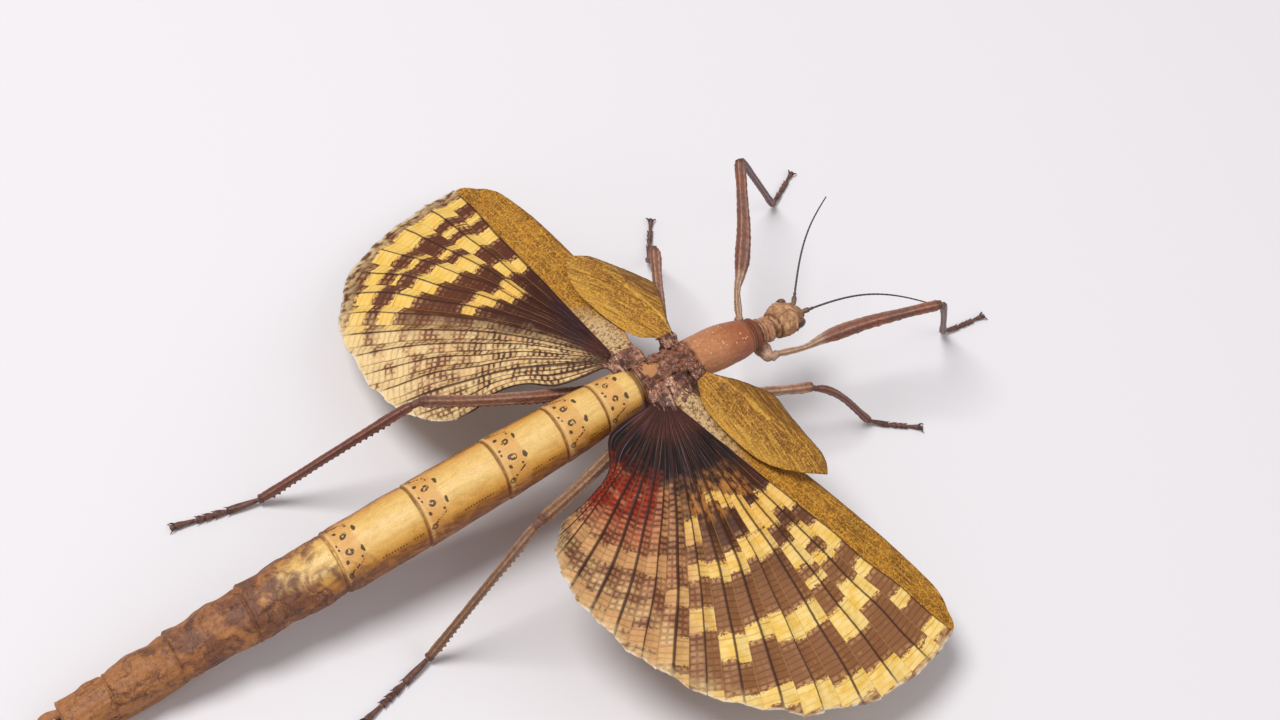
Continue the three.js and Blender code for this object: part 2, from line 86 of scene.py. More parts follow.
# Rings of a tube-like node: its points gathered by their place along the line from start to end.
# Gives each ring's place on that line, its centre, and its half extents across and upward.
def nodeRings(name, start, end, gap=0.25):
    points = nodePoints(name)
    line = end - start
    forward = line / np.linalg.norm(line)
    across = np.cross(forward, upward)
    across /= np.linalg.norm(across)
    over = np.cross(across, forward)
    place = (points - start) @ forward
    order = np.argsort(place)
    points, place = points[order], place[order]
    breaks = np.flatnonzero(np.diff(place) > gap) + 1
    rows = []
    for ring in np.split(np.arange(len(place)), breaks):
        cloud = points[ring]
        wide, high = cloud @ across, cloud @ over
        middle = forward * place[ring].mean() + across * (wide.max() + wide.min()) / 2
        middle = middle + over * (high.max() + high.min()) / 2
        middle = middle + forward * (start @ forward)
        rows.append([place[ring].mean(), *middle, np.ptp(wide) / 2, np.ptp(high) / 2])
    rows = np.array(rows)
    return rows[:, 0], rows[:, 1:4], rows[:, 4], rows[:, 5]


# Smooth line through stops (place, values), as cubic pieces whose slope at a stop is that between its
# neighbours.
def spline(stops, place):
    table = np.asarray(stops, float)
    xs, ys = table[:, 0], table[:, 1:]
    place = np.clip(place, xs[0], xs[-1])
    after = np.clip(np.searchsorted(xs, place), 1, len(xs) - 1)
    low, high = np.maximum(np.arange(len(xs)) - 1, 0), np.minimum(np.arange(len(xs)) + 1, len(xs) - 1)
    slopes = (ys[high] - ys[low]) / (xs[high] - xs[low])[:, None]
    step = (xs[after] - xs[after - 1])[..., None]
    t = (place[..., None] - xs[after - 1][..., None]) / step
    pull = (slopes[after - 1] * (1 - t) - slopes[after] * t) * step * t * (1 - t)
    line = ys[after - 1] + (ys[after] - ys[after - 1]) * t * t * (3 - 2 * t) + pull
    return line[..., 0] if line.shape[-1] == 1 else line


# A value kept from 0 to 1.
def held(value):
    return np.clip(value, 0, 1)


# 0 below low, 1 above high, and a smooth S between them.
def ease(value, low, high):
    t = held((value - low) / (high - low))
    return t * t * (3 - 2 * t)


# A bell: 1 at the middle, falling to 1/e at a width from it.
def bell(value, middle, width):
    return np.exp(-((value - middle) / width) ** 2)


# Points from their three coordinates, each a number, a row, a column or a grid.
def xyz(x, y, z):
    return np.stack(np.broadcast_arrays(x, y, z), -1)


# The same directions, each one long.
def unit(vectors):
    return vectors / np.linalg.norm(vectors, axis=-1, keepdims=True)


# Random waviness: the sum of a few sine waves in random directions over the inputs, whose lengths lie
# between two.
def waves(seed, lengths, *inputs, count=6):
    source = seeded(seed)
    total = 0
    for _ in range(count):
        length = source.uniform(*lengths)
        turn = source.normal(size=len(inputs))
        turn /= np.linalg.norm(turn)
        phase = sum(t * value for t, value in zip(turn, inputs))
        total = total + np.sin(2 * np.pi * phase / length + source.uniform(0, 2 * np.pi))
    return total / math.sqrt(count)


# A tube from a grid of points (rows along, columns around), closed by a point at each end, with values
# over that grid.
def tubePart(points, **values):
    rows, columns = points.shape[:2]
    index = np.arange(rows * columns).reshape(rows, columns)
    beside = np.roll(index, -1, axis=1)
    quads = np.stack([index[:-1], beside[:-1], beside[1:], index[1:]], -1).reshape(-1, 4)
    firstTip, lastTip = rows * columns, rows * columns + 1
    caps = np.concatenate([
        np.stack([beside[0], index[0], np.full(columns, firstTip)], -1),
        np.stack([index[-1], beside[-1], np.full(columns, lastTip)], -1),
    ])
    tips = np.stack([points[0].mean(axis=0), points[-1].mean(axis=0)])
    grids = {name: np.broadcast_to(value, (rows, columns)).astype(float) for name, value in values.items()}
    extras = {name: np.append(grid, [grid[0].mean(), grid[-1].mean()]) for name, grid in grids.items()}
    return {"points": np.concatenate([points.reshape(-1, 3), tips]), "quads": quads, "triangles": caps,
            "values": extras}


# A closed thin shell between two grids of the same size, joined round their edges.
def sheetPart(top, bottom, **values):
    rows, columns = top.shape[:2]
    index = np.arange(rows * columns).reshape(rows, columns)
    under = index + rows * columns
    upper = np.stack([index[:-1, :-1], index[:-1, 1:], index[1:, 1:], index[1:, :-1]], -1)
    lower = np.stack([under[:-1, :-1], under[1:, :-1], under[1:, 1:], under[:-1, 1:]], -1)
    loop = np.concatenate([index[0, :-1], index[:-1, -1], index[-1, :0:-1], index[:0:-1, 0]])
    onward = np.roll(loop, -1)
    rim = np.stack([onward, loop, loop + rows * columns, onward + rows * columns], -1)
    quads = np.concatenate([upper.reshape(-1, 4), lower.reshape(-1, 4), rim])
    extras = {name: np.tile(np.broadcast_to(value, (rows, columns)).ravel(), 2)
              for name, value in values.items()}
    return {"points": np.concatenate([top.reshape(-1, 3), bottom.reshape(-1, 3)]), "quads": quads,
            "triangles": np.zeros((0, 3), int), "values": extras}


# Six times the volume inside a part; negative when its faces point inward.
def signedVolume(part):
    corners = part["points"]
    quads = part["quads"]
    faces = np.concatenate([quads[:, [0, 1, 2]], quads[:, [0, 2, 3]], part["triangles"]])
    a, b, c = corners[faces[:, 0]], corners[faces[:, 1]], corners[faces[:, 2]]
    return float(np.einsum("ij,ij->i", a - corners[0], np.cross(b - corners[0], c - corners[0])).sum())


# One Blender object from closed parts, faces outward, with their values as attributes, 0 where a part
# has none.
def makePiece(name, parts, material, replaced=()):
    keys = sorted({key for part in parts for key in part["values"]})
    points, quads, triangles, offset = [], [], [], 0
    for part in parts:
        order = -1 if signedVolume(part) < 0 else 1
        quads.append(part["quads"][:, ::order] + offset)
        triangles.append(part["triangles"][:, ::order] + offset)
        points.append(part["points"])
        offset += len(part["points"])
    points, quads, triangles = (np.concatenate(arrays) for arrays in (points, quads, triangles))
    mesh = bpy.data.meshes.new(name)
    mesh.vertices.add(len(points))
    mesh.vertices.foreach_set("co", (points * mm).astype(np.float32).ravel())
    corners = np.concatenate([quads.ravel(), triangles.ravel()]).astype(np.int32)
    sizes = np.concatenate([np.full(len(quads), 4), np.full(len(triangles), 3)])
    mesh.loops.add(len(corners))
    mesh.loops.foreach_set("vertex_index", corners)
    mesh.polygons.add(len(sizes))
    mesh.polygons.foreach_set("loop_start", (np.cumsum(sizes) - sizes).astype(np.int32))
    mesh.materials.append(material)
    mesh.update(calc_edges=True)
    mesh.shade_smooth()
    for key in keys:
        columns = [part["values"].get(key, np.zeros(len(part["points"]))) for part in parts]
        layer = mesh.attributes.new(key, "FLOAT", "POINT")
        layer.data.foreach_set("value", np.concatenate(columns).astype(np.float32))
    piece = bpy.data.objects.new(name, mesh)
    bpy.context.collection.objects.link(piece)
    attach(piece, "root")
    if replaced:
        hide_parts(*replaced)
    print(f"{name}: {len(quads) * 2 + len(triangles)} triangles")


# The trunk is one skin from the neck to the tail.
trunkNodes = ["pronotum", "mesothorax", "metathorax"] + [f"abdomen_{number}" for number in range(2, 11)]
trunk = {
    "columns": 144,
    "rowsPerRing": 38,
    "edgeRows": (0.002, 0.006, 0.012, 0.02, 0.034),  # shares of a ring with more rows, at both ends
    "rimRows": (0.945, 0.955, 0.972),
    "wrinkle": 0.045,  # height of the fine long wrinkles
    "tailWrinkle": 0.13,  # and of the coarser ones on the last rings
    "tailFrom": (60, 95),  # where those start, in millimetres behind the insect's origin
    "pleuraAngle": 104,  # the fold low on each side, in degrees from the top of the back
    "pleuraDepth": 0.34,
    "lowest": 0.25,  # height of the underside over the floor at least
    "granules": 34,  # pale grains on the middle thorax
    "granuleRows": (-34, -17, 0, 17, 34),  # in degrees from the top of the back
    "granuleSize": (0.13, 0.27),
}
# Height of an abdomen ring's surface over its mean line, by the share of the way to its hind edge.
ringProfile = [(0, -0.3), (0.02, -0.1), (0.1, -0.05), (0.3, -0.03), (0.55, 0.01), (0.78, 0.06), (0.9, 0.08),
               (0.945, 0.03), (0.965, 0.12), (0.982, 0.1), (0.992, -0.04), (1, -0.3)]


# Places along the body with centre height, half width and half height, from the solids: the stations
# of the thorax but the outermost, and the middle of each abdomen ring.
def trunkStations():
    stations = []
    for name in trunkNodes:
        points = nodePoints(name) - origin
        front, rear = points[:, 0].max(), points[:, 0].min()
        for x in np.unique(np.round(points[:, 0], 2)):
            share = (front - x) / (front - rear)
            thorax = not name.startswith("abdomen")
            tail = name == trunkNodes[-1] and share > 0.99
            if (0.1 < share < 0.9 if thorax else 0.4 < share < 0.6) or tail:
                ring = points[np.abs(points[:, 0] - x) < 0.02]
                stations.append([-x, ring[:, 2].mean(), np.ptp(ring[:, 1]) / 2, np.ptp(ring[:, 2]) / 2])
    return np.array(sorted(stations))


trunkLine = trunkStations()


# The trunk's centre height, half width and half height at places along it.
def trunkAt(x):
    return np.moveaxis(spline(trunkLine, -x), -1, 0)


# Front and hind end of a ring's solid, along the trunk.
def ringEnds(name):
    low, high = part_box(name)
    return high[0] / mm - origin[0], low[0] / mm - origin[0]


# Places and ring facts for every row of the trunk's grid, front to back.
def trunkRows():
    even = np.linspace(0, 1, trunk["rowsPerRing"])
    edge = np.array(trunk["edgeRows"])
    share = np.unique(np.concatenate([even, edge, 1 - edge, trunk["rimRows"]]))
    rows = []
    for number, name in enumerate(trunkNodes):
        front, rear = ringEnds(name)
        x = front + (rear - front) * share
        rows.append(np.stack([x, share, np.full_like(share, number), x - rear], -1))
    return np.concatenate(rows)


# The trunk: an ellipse round the centre line, pushed out along its normal by the ring's profile, the side
# folds, wrinkles and the thorax's creases. Rings are numbered from 0: three of the thorax, then the
# abdomen's, of which the first draws in at its front.
def trunkPart():
    rows = trunkRows()
    x, share, number, fromHind = (rows[:, i][:, None] for i in range(4))
    turn = np.linspace(-np.pi, np.pi, trunk["columns"], endpoint=False)[None, :]
    centre, wide, high = trunkAt(x)
    degrees = np.abs(np.degrees(turn))
    abdomen, tail = number > 2.5, ease(-x, *trunk["tailFrom"])
    lift = np.where(abdomen, spline(ringProfile, share), 0)
    lift = lift + trunkCreases(x, share, number, turn, degrees, wide)
    first = abdomen * (number < 3.5)
    lift = lift - first * (0.9 * np.exp(-share / 0.09) + 0.12 * bell(share, 0.1, 0.012))
    fold = trunk["pleuraAngle"]
    side = bell(degrees, fold, 3.2) * -trunk["pleuraDepth"]
    side = side + bell(degrees - fold, -9, 5) * 0.14
    side = side + bell(degrees - fold, 13, 2.5) * -0.12
    lift = lift + side * ease(-x, 2, 14) * (1 - 0.5 * ease(-x, 125, 138))
    around = turn * wide
    fine = waves(3, (0.7, 2.2), x * 0.12, around, count=9)
    coarse = waves(5, (1.6, 5.5), x * 0.6, around, count=10)
    lift = lift + fine * trunk["wrinkle"] * (0.45 + 0.55 * ease(degrees, 50, 90))
    lift = lift + coarse * trunk["tailWrinkle"] * (0.12 + tail) * abdomen
    bends = 0.22 * waves(6, (6, 14), x, around * 0.5)
    lift = lift + bends * tail * (1 - ease(-x, 128, 138))
    y, z = np.sin(turn) * wide, np.cos(turn) * high
    normal = unit(xyz(0, y / wide ** 2, z / high ** 2))
    place = xyz(x, y, z + centre) + normal * lift[..., None]
    place[..., 2] = np.maximum(place[..., 2], trunk["lowest"])
    return tubePart(place + origin, ringShare=share, ringNumber=number, fromHind=fromHind,
                    sideways=np.abs(turn) * (wide + high) / 2, upness=np.cos(turn), hollow=lift)


# Folds of the thorax, as sums of bells, steps and waves: the front ring's furrow, the middle one's
# collar, creases and hind wrinkles, and crumpled skin round the smooth plate of the hind one.
def trunkCreases(x, share, number, turn, degrees, wide):
    around = turn * wide
    front = bell(share, 0.5, 0.07) * -0.2 - bell(share, 1, 0.05) * 0.4
    front = front + 0.06 * waves(8, (0.8, 2), x, around, count=8) - 0.2 * np.exp(-share / 0.03)
    collar = 0.3 * bell(share, 0.035, 0.03) - 0.5 * bell(share, 0, 0.008)
    for place, depth in ((0.085, 0.22), (0.125, 0.16), (0.165, 0.1)):
        slant = place + 0.012 * np.cos(turn * 2 + place * 40)
        collar = collar - depth * bell(share, slant, 0.011)
    hindFolds = ease(share, 0.86, 1) * 0.14 * waves(9, (0.7, 1.6), x, around * 0.5)
    middle = collar + hindFolds - 0.4 * ease(share, 0.975, 1)
    middle = middle + 0.035 * waves(10, (0.5, 1.6), x, around, count=10)
    middle = middle - 0.1 * bell(degrees, 0, 1.6) * ease(share, 0.2, 0.3)
    plate = ease(share, 0.58, 0.66) * (1 - ease(share, 0.9, 0.96))
    plate = plate * (1 - ease(degrees, 26, 36))
    crumple = waves(12, (1.3, 4), x * 1.2, around, count=12)
    crumple = np.abs(crumple) ** 1.3 * np.sign(crumple)
    hind = (1 - plate) * (0.24 * crumple - 0.2) + plate * (0.3 - 0.012 * degrees)
    hind = hind * ease(-x, 0.3, 1.6) * (1 - 0.6 * ease(degrees, 95, 120))
    hind = hind + 0.45 * ease(share, 0.86, 0.97) - 0.35 * ease(share, 0.98, 1)
    return np.where(number < 0.5, front, np.where(number < 1.5, middle, np.where(number < 2.5, hind, 0)))


# Low round grains scattered over the top of the middle thorax, in loose rows: each is a dome that
# stands along the skin's normal there.
def granuleParts():
    front, rear = ringEnds("mesothorax")
    count = trunk["granules"]
    share = rng.uniform(0.22, 0.93, count)
    turn = np.radians(rng.choice(trunk["granuleRows"], count) + rng.normal(0, 6, count))
    size = rng.uniform(*trunk["granuleSize"], count)
    rise = np.array([0, 0.45, 0.8, 1])[:, None, None]
    spin = np.linspace(0, 2 * np.pi, 8, endpoint=False)[None, :, None]
    parts = []
    for s, t, radius in zip(share, turn, size):
        x = front + (rear - front) * s
        centre, wide, high = trunkAt(x)
        out = unit(np.array([0, math.sin(t) / wide, math.cos(t) / high]))
        flank = np.cross(out, [1, 0, 0])
        base = np.array([x, math.sin(t) * wide, centre + math.cos(t) * high]) + origin
        girth = radius * np.sqrt(np.clip(1 - rise ** 2, 0.004, 1))
        dome = base + out * (rise * radius * 0.8 - 0.08)
        dome = dome + girth * (np.cos(spin) * np.array([1, 0, 0]) + np.sin(spin) * flank)
        parts.append(tubePart(dome, ringShare=s, ringNumber=1, fromHind=8, sideways=abs(t) * wide,
                              upness=math.cos(t), granule=1))
    return parts


leg = {
    "femurColumns": 48,
    "tibiaColumns": 40,
    "rowStep": 0.17,  # length of a row
    "ridges": (60, 120, 0, 180, 238, 302),  # the keels round a limb, in degrees from its outer side
    "keelWidth": 11,
    "keelHeight": 0.17,  # as a share of the girth
    "toothGap": {"fore": 2.3, "mid": 2.6, "hind": 1.55},
    "femurTooth": {"fore": 0.2, "mid": 0.16, "hind": 0.5},
    "tibiaTooth": {"fore": 0.12, "mid": 0.12, "hind": 0.42},
    "paleBase": {"fore": 0.3, "mid": 1.1, "hind": 1.1},  # share of the femur that is pale
    "palest": {"fore_left": 1, "fore_right": 1, "mid_left": 0.35, "mid_right": 0.55, "hind_left": 0.3,
               "hind_right": 0.4},
    # how far each tibia bows out near its knee
    "bow": {"fore_left": 0.3, "fore_right": 0.3, "mid_left": 0.5, "mid_right": 1.5, "hind_left": 0.3,
            "hind_right": 0.3},
    "hip": [(0, 1.75), (0.35, 1.75), (0.62, 1.45), (0.86, 1.2), (1, 0.95)],  # girth along the coxa
    # limbKind, which picks the paint: femur and tibia, and those that differ
    "femurKind": {"hind_right": 1.3},
    "tibiaKind": {"fore_left": 2.4, "fore_right": 2.4, "hind_right": 2.8},
}
foot = {
    "joints": (0, 0.4, 0.54, 0.64, 0.73, 1),  # where the joints end, as shares of the foot
    "jointForm": [(0, 0.6), (0.3, 0.76), (0.8, 1.08), (0.94, 1.12), (1, 0.75)],  # girth along a joint
    "lastForm": [(0, 0.55), (0.5, 0.7), (0.85, 1), (1, 0.7)],
    "girth": {"fore": 0.58, "mid": 0.6, "hind": 0.78},
    "rows": 24,
    "columns": 20,
    "clawLength": 2.2,
    "clawGirth": 0.25,
    "clawSpread": 34,
    "clawReach": 1.15,  # how far the claws reach past the last joint in the solids
    "lowest": 0.01,
}


# Ends of a limb node: the middles of its outermost rings along the way that it points.
def limbEnds(name, nearPoint):
    points = nodePoints(name)
    toward = unit(points.mean(axis=0) - nearPoint)
    for _ in range(3):
        place = points @ toward
        start = points[place < place.min() + 0.3].mean(axis=0)
        end = points[place > place.max() - 0.3].mean(axis=0)
        toward = unit(end - start)
    return start, end


# Evenly placed centres and girths along a node's rings, as a smooth path.
def limbPath(name, start, end, rows):
    place, centres, wide, high = nodeRings(name, start, end)
    even = np.linspace(place[0], place[-1], rows)
    return [spline(np.column_stack([place, column]), even) for column in (centres, wide, high)]


# Rounded form for the short joints: an ellipse with its ends drawn in and three low swells round it, and
# no keels.
def roundForm(share, turn):
    ends = np.sqrt(np.clip(1 - (2 * share - 1) ** 6, 0.002, 1))
    return ends * (1 + 0.04 * np.cos(turn * 3 + share * 9)), 0


# A plain tube, without keels.
def plainForm(share, turn):
    return 1, 0


# Nothing of a limb is pale.
def notPale(share):
    return 0


# A limb about a path: an ellipse across it, scaled by form(share, angle), with values for its keels and
# paleness. Half width and height are one number, or one for each point of the path.
def limbPart(path, wide, high, kind, columns, form=roundForm, pale=notPale):
    ahead = unit(np.gradient(path, axis=0))
    across = unit(np.cross(ahead, upward))
    over = np.cross(across, ahead)
    turn = np.linspace(0, 2 * np.pi, columns, endpoint=False)[None, :]
    share = np.linspace(0, 1, len(path))[:, None]
    wide, high = (np.broadcast_to(girth, len(path))[:, None] for girth in (wide, high))
    scale, keel = form(share, turn)
    points = path[:, None] + across[:, None] * (wide * scale * np.cos(turn))[..., None]
    points = points + over[:, None] * (high * scale * np.sin(turn))[..., None]
    return tubePart(points, alongLimb=share, limbKind=kind, keel=keel, pale=pale(share))


# Scale and keel mask round a keeled limb: each keel is a bell, the two lower ones carry teeth that lean
# toward the foot, and rings mark the knee.
def keeledForm(length, toothGap, tooth, girth, toothFrom, knee):
    def form(share, turn):
        degrees = np.degrees(turn)
        keel, teeth = 0, 0
        step = (share * length / toothGap) % 1
        lean = held(1 - np.abs(step - 0.7) / 0.3) * ease(share, toothFrom, toothFrom + 0.1)
        lean = lean * (1 - ease(share, 0.93, 0.97))
        uneven = 0.7 + 0.3 * np.sin(np.floor(share * length / toothGap) * 12.9)
        for angle in leg["ridges"]:
            away = (degrees - angle + 180) % 360 - 180
            crest = bell(away, 0, leg["keelWidth"])
            keel = keel + crest
            if angle > 200:
                teeth = teeth + crest * lean * uneven
        rough = waves(17, (0.6, 2.5), share * length, np.cos(turn) * 1.5, np.sin(turn) * 1.5)
        scale = 0.93 + leg["keelHeight"] * keel + teeth * tooth / girth + 0.035 * rough
        swell = ease(share, knee, knee + 0.03) if knee < 1 else 1 - ease(share, 0.02, 0.06)
        rings = (0.1 + np.sin(share * length * 6) * 0.06) * swell
        ends = 1 - 0.9 * np.maximum(np.exp(-share / 0.004), np.exp(-(1 - share) / 0.004))
        return (scale + rings) * ends, held(keel)

    return form


# Points at even steps from start to end.
def straightPath(start, end, rows):
    return start + (end - start) * np.linspace(0, 1, rows)[:, None]


# A leg along the solids' coxa, femur and tibia: a tapering hip, a short bridge, the keeled femur, a
# knee, and the keeled tibia, which bows out by half a sine. Gives the parts and the ankle.
def legParts(name):
    pair = name.split("_")[0]
    coxa = nodePoints(f"coxa_{name}")
    inner = np.array([coxa[:, 0].mean(), origin[1], coxa[:, 2].mean()])
    coxaStart, coxaEnd = limbEnds(f"coxa_{name}", inner)
    femurStart, knee = limbEnds(f"femur_{name}", coxaEnd)
    tibiaStart, ankle = limbEnds(f"tibia_{name}", knee)
    thighLength, shinLength = np.linalg.norm(knee - femurStart), np.linalg.norm(ankle - tibiaStart)
    thighWay, shinWay = unit(knee - femurStart), unit(ankle - tibiaStart)
    paleTo, toothGap = leg["paleBase"][pair], leg["toothGap"][pair]

    def hipPale(share):
        return 0.62 if pair == "fore" else 0.3

    def femurPale(share):
        return leg["palest"][name] * (1 - ease(share, paleTo * 0.75, paleTo + 0.04))

    def tibiaPale(share):
        return (name == "hind_right") * (0.35 - 0.3 * share)

    outward = unit(coxaEnd - coxaStart)
    hip = straightPath(coxaStart - outward * 1.3, coxaEnd + outward * 0.25, 24)
    girth = spline(leg["hip"], np.linspace(0, 1, len(hip)))
    bridge = straightPath(coxaEnd, femurStart + unit(femurStart - coxaEnd) * 0.5, 14)
    parts = [limbPart(hip, girth, girth, 0, 28, pale=hipPale),
             limbPart(bridge, 0.86, 0.9, 0, 28, pale=hipPale)]

    path, wide, high = limbPath(f"femur_{name}", femurStart, knee, int(thighLength / leg["rowStep"]))
    toothFrom = 0.3 if pair == "fore" else 0.18
    form = keeledForm(thighLength, toothGap, leg["femurTooth"][pair], 1.2, toothFrom, 0.93)
    kind = leg["femurKind"].get(name, 1)
    parts.append(limbPart(path, wide, high, kind, leg["femurColumns"], form, femurPale))

    bend = straightPath(knee - thighWay * 0.7, tibiaStart + shinWay * 0.5, 16)
    stout = 0.62 + 0.16 * (pair == "hind")
    parts.append(limbPart(bend, stout, stout, 1, 24, pale=tibiaPale))

    path, wide, high = limbPath(f"tibia_{name}", tibiaStart, ankle, int(shinLength / leg["rowStep"]))
    bent = np.sin(np.pi * np.linspace(0, 1, len(path))[:, None] ** 0.6) ** 1.2 * leg["bow"][name]
    path = path + unit(thighWay - shinWay * (thighWay @ shinWay)) * bent
    form = keeledForm(shinLength, toothGap, leg["tibiaTooth"][pair], 0.8, 0.1, 2)
    kind = leg["tibiaKind"].get(name, 2)
    parts.append(limbPart(path, wide, high, kind, leg["tibiaColumns"], form, tibiaPale))
    return parts, ankle


# A foot: a knuckle, five joints that widen to their ends over small pads with two spurs, two hooked
# claws and a lobe, none lower than the floor. The joints come down from the ankle in a curve.
def footParts(name, ankle):
    pair = name.split("_")[0]
    points = nodePoints(f"tarsus_{name}")
    ahead = points.mean(axis=0) - ankle
    ahead[2] = 0
    ahead = unit(ahead)
    beside = np.array([-ahead[1], ahead[0], 0])
    reach = ((points - ankle) @ ahead).max() - foot["clawReach"]
    girth, joints, columns = foot["girth"][pair], foot["joints"], foot["columns"]

    knuckle = straightPath(ankle - ahead * 0.6, ankle + ahead * 0.6, 16)
    knuckle[:, 2] += 0.1
    parts = [limbPart(knuckle, girth * 1.25, girth * 1.2, 3, columns)]
    for number, (start, end) in enumerate(zip(joints, joints[1:])):
        runs = np.linspace(start * reach - 0.12, end * reach + 0.1, foot["rows"])
        path = ankle + ahead * runs[:, None]
        fallen = held(runs / (reach * 0.42))
        path[:, 2] = girth * 0.95 + (ankle[2] - girth * 0.95) * (1 - fallen) ** 1.5
        last = number == len(joints) - 2
        stops = foot["lastForm" if last else "jointForm"]
        swell = spline(stops, np.linspace(0, 1, len(path))) * girth
        parts.append(limbPart(path, swell, swell * 0.95, 3, columns))
        if not last:
            parts += padParts(path, ahead, beside, girth)
    tip = ankle + ahead * reach
    tip[2] = girth * 0.95
    parts += clawParts(tip, ahead)
    lobe = straightPath(tip - ahead * 0.3, tip + ahead * 0.7, 10)
    lobe[:, 2] -= 0.12
    parts.append(limbPart(lobe, girth * 0.75, girth * 0.45, 3, 14))
    for part in parts:
        part["points"][:, 2] = np.maximum(part["points"][:, 2], foot["lowest"])
    return parts


# The pad under a joint's end, and a spur on each side of it.
def padParts(path, ahead, beside, girth):
    pad = path[-9:-1] - np.array([0, 0, girth * 0.42])
    parts = [limbPart(pad, girth * 0.66, girth * 0.55, 3, 14)]
    thin = np.linspace(0.2, 0.04, 8)
    for way in (-1, 1):
        start = path[-5] + beside * way * girth * 0.7
        end = path[-1] + beside * way * girth * 1.25 + ahead * 0.3
        parts.append(limbPart(straightPath(start, end, len(thin)), thin, thin, 4, 8))
    return parts


# Two claws: each turns out from the foot's line by an angle that lessens, rises and hooks down to the
# floor, and thins to its tip.
def clawParts(tip, ahead):
    bend = np.linspace(0, 1, 16)
    thin = foot["clawGirth"] * (1 - 0.85 * bend ** 1.4)
    parts = []
    for way in (-1, 1):
        spread = np.radians(way * foot["clawSpread"] * (1.2 - 0.5 * bend))
        heading = xyz(ahead[0] * np.cos(spread) - ahead[1] * np.sin(spread),
                      ahead[0] * np.sin(spread) + ahead[1] * np.cos(spread), 0)
        path = tip - ahead * 0.85 + np.cumsum(heading, axis=0) * foot["clawLength"] / len(bend)
        path[:, 2] = tip[2] + 0.42 * np.sin(np.pi * np.minimum(bend * 1.1, 1)) - (tip[2] - 0.12) * bend ** 2
        parts.append(limbPart(path, thin, thin, 4, 12))
    return parts


# Each hind wing fans out from its apex, from the border rib, beside the leathery strip, back to the anal
# edge. Headings are degrees forward from straight out, and reach is the distance from the apex. droop
# is how steeply ribs fall, and ribs how long they are, by their share of the fan. rings are the pale
# bands: (vein, reach of the middle, half the width).
hindWings = {
    "left": {
        "apex": (-13.3, 5.7, 30.6),
        "border": 3,
        "outer": -71,  # heading of the last straight rib
        "veins": 11,
        "analEdge": [(2, -84), (13, -80), (18.5, -71), (25, -71), (30, -76), (36, -78)],
        "droop": [(0, 21.8), (0.35, 20.5), (0.7, 17), (1, 13)],
        "lift": 2.6,
        "curl": 3.2,
        "ribs": [(0, 73.8), (0.1, 72.6), (0.21, 71.3), (0.31, 70), (0.42, 67.8), (0.55, 62.5),
                 (0.66, 56.8), (0.78, 50.8), (0.88, 45.6), (0.95, 41), (1, 35.5)],
        "rings": [
            [(0, 68, 1.5), (1, 66, 2.2), (2, 65, 3), (3, 64, 2.8), (4, 62.6, 2), (5, 60.3, 1.8), (7, 58, 2),
             (11, 44, 2)],
            [(0, 53.5, 2.4), (1, 53, 3), (2, 47.5, 2.7), (3, 49, 2.7), (4, 50.5, 2.5), (6, 53, 2),
             (9, 45, 1.5)],
            [(0, 40.5, 2), (1, 40.5, 2.6), (2, 34, 3), (3, 33, 2), (4, 36, 2.3), (5, 37, 1.6), (6, 38, 0)],
            [(0, 60.5, 1), (1, 59.5, 0.8), (2, 54.5, 0.8), (3, 57, 0.8), (4, 57.3, 0.7), (5, 56, 0)],
        ],
    },
    "right": {
        "apex": (-9.8, 6, 31),
        "border": 24,
        "outer": -65,
        "veins": 13,
        "analEdge": [(2, -86), (14, -82), (20, -66), (27, -64), (42, -69)],
        "droop": [(0, 13.8), (0.35, 11.5), (0.7, 8), (0.88, 3), (1, -2)],
        "lift": -2.6,
        "curl": 1.2,
        "ribs": [(0, 75), (0.1, 74.6), (0.21, 72.8), (0.31, 69.8), (0.42, 65.4), (0.55, 59.6),
                 (0.66, 54.4), (0.78, 49.4), (0.88, 45.8), (0.95, 41.5), (1, 36.5)],
        "rings": [
            [(0, 70.5, 1.8), (1, 71.5, 1.6), (2, 70.3, 2.5), (3, 68.5, 2.5), (4, 66, 2.8), (5, 63.2, 2),
             (6, 63.2, 1.5), (8, 58.3, 1.4), (10, 50.5, 1.5), (13, 42, 1)],
            [(0, 61.5, 1.5), (1, 54.2, 3), (2, 57, 3), (3, 52, 2.9), (4, 51.5, 2.6), (5, 49.8, 2),
             (6, 52.4, 2.6), (7, 45.6, 2.4), (8, 52.4, 2.3), (9, 50, 1.9), (11, 45, 1.6), (15, 40, 0)],
            [(0, 42, 3.5), (1, 38.4, 2.2), (2, 41, 3), (3, 35, 2.2), (4, 34.5, 2.6), (5, 36, 2.1), (6, 37, 2),
             (7, 36, 1.6), (8, 41.5, 1.7), (9, 35.6, 2), (12, 36, 1.8), (15, 34, 1)],
            [(0, 30, 3), (1, 29.2, 2.6), (2, 30.6, 3.4), (3, 28.5, 4.4), (4, 23.6, 1.6), (5, 22, 1),
             (6, 24, 0), (7, 28, 3), (8, 28, 0)],
            [(0, 52, 1.4), (1, 44.6, 1.4), (2, 47, 0.8), (3, 45, 0)],
        ],
    },
}
wingMake = {
    "root": 2.2,  # reach at which the ribs start
    "rows": 190,
    "rowBias": 0.85,  # below 1, rows lie closer together toward the margin
    "skin": 0.05,  # half the thickness of the membrane
    "veinHeight": 0.13,
    "veinHalfWidth": 0.17,
    "pleat": 0.42,  # height of the fan's folds where it is wide open
    "innerVeins": 2,  # veins past the last straight rib, squeezed beside the leg
    "stripWidth": [(0, 4.6), (0.12, 6.4), (0.35, 8.3), (0.66, 8.4), (0.85, 7.2), (0.95, 5.6), (1, 3.4)],
    "stripColumns": 34,
    "stripSkin": 0.13,
    "stripVeins": (0.94, 0.78, 0.55, 0.3),
}


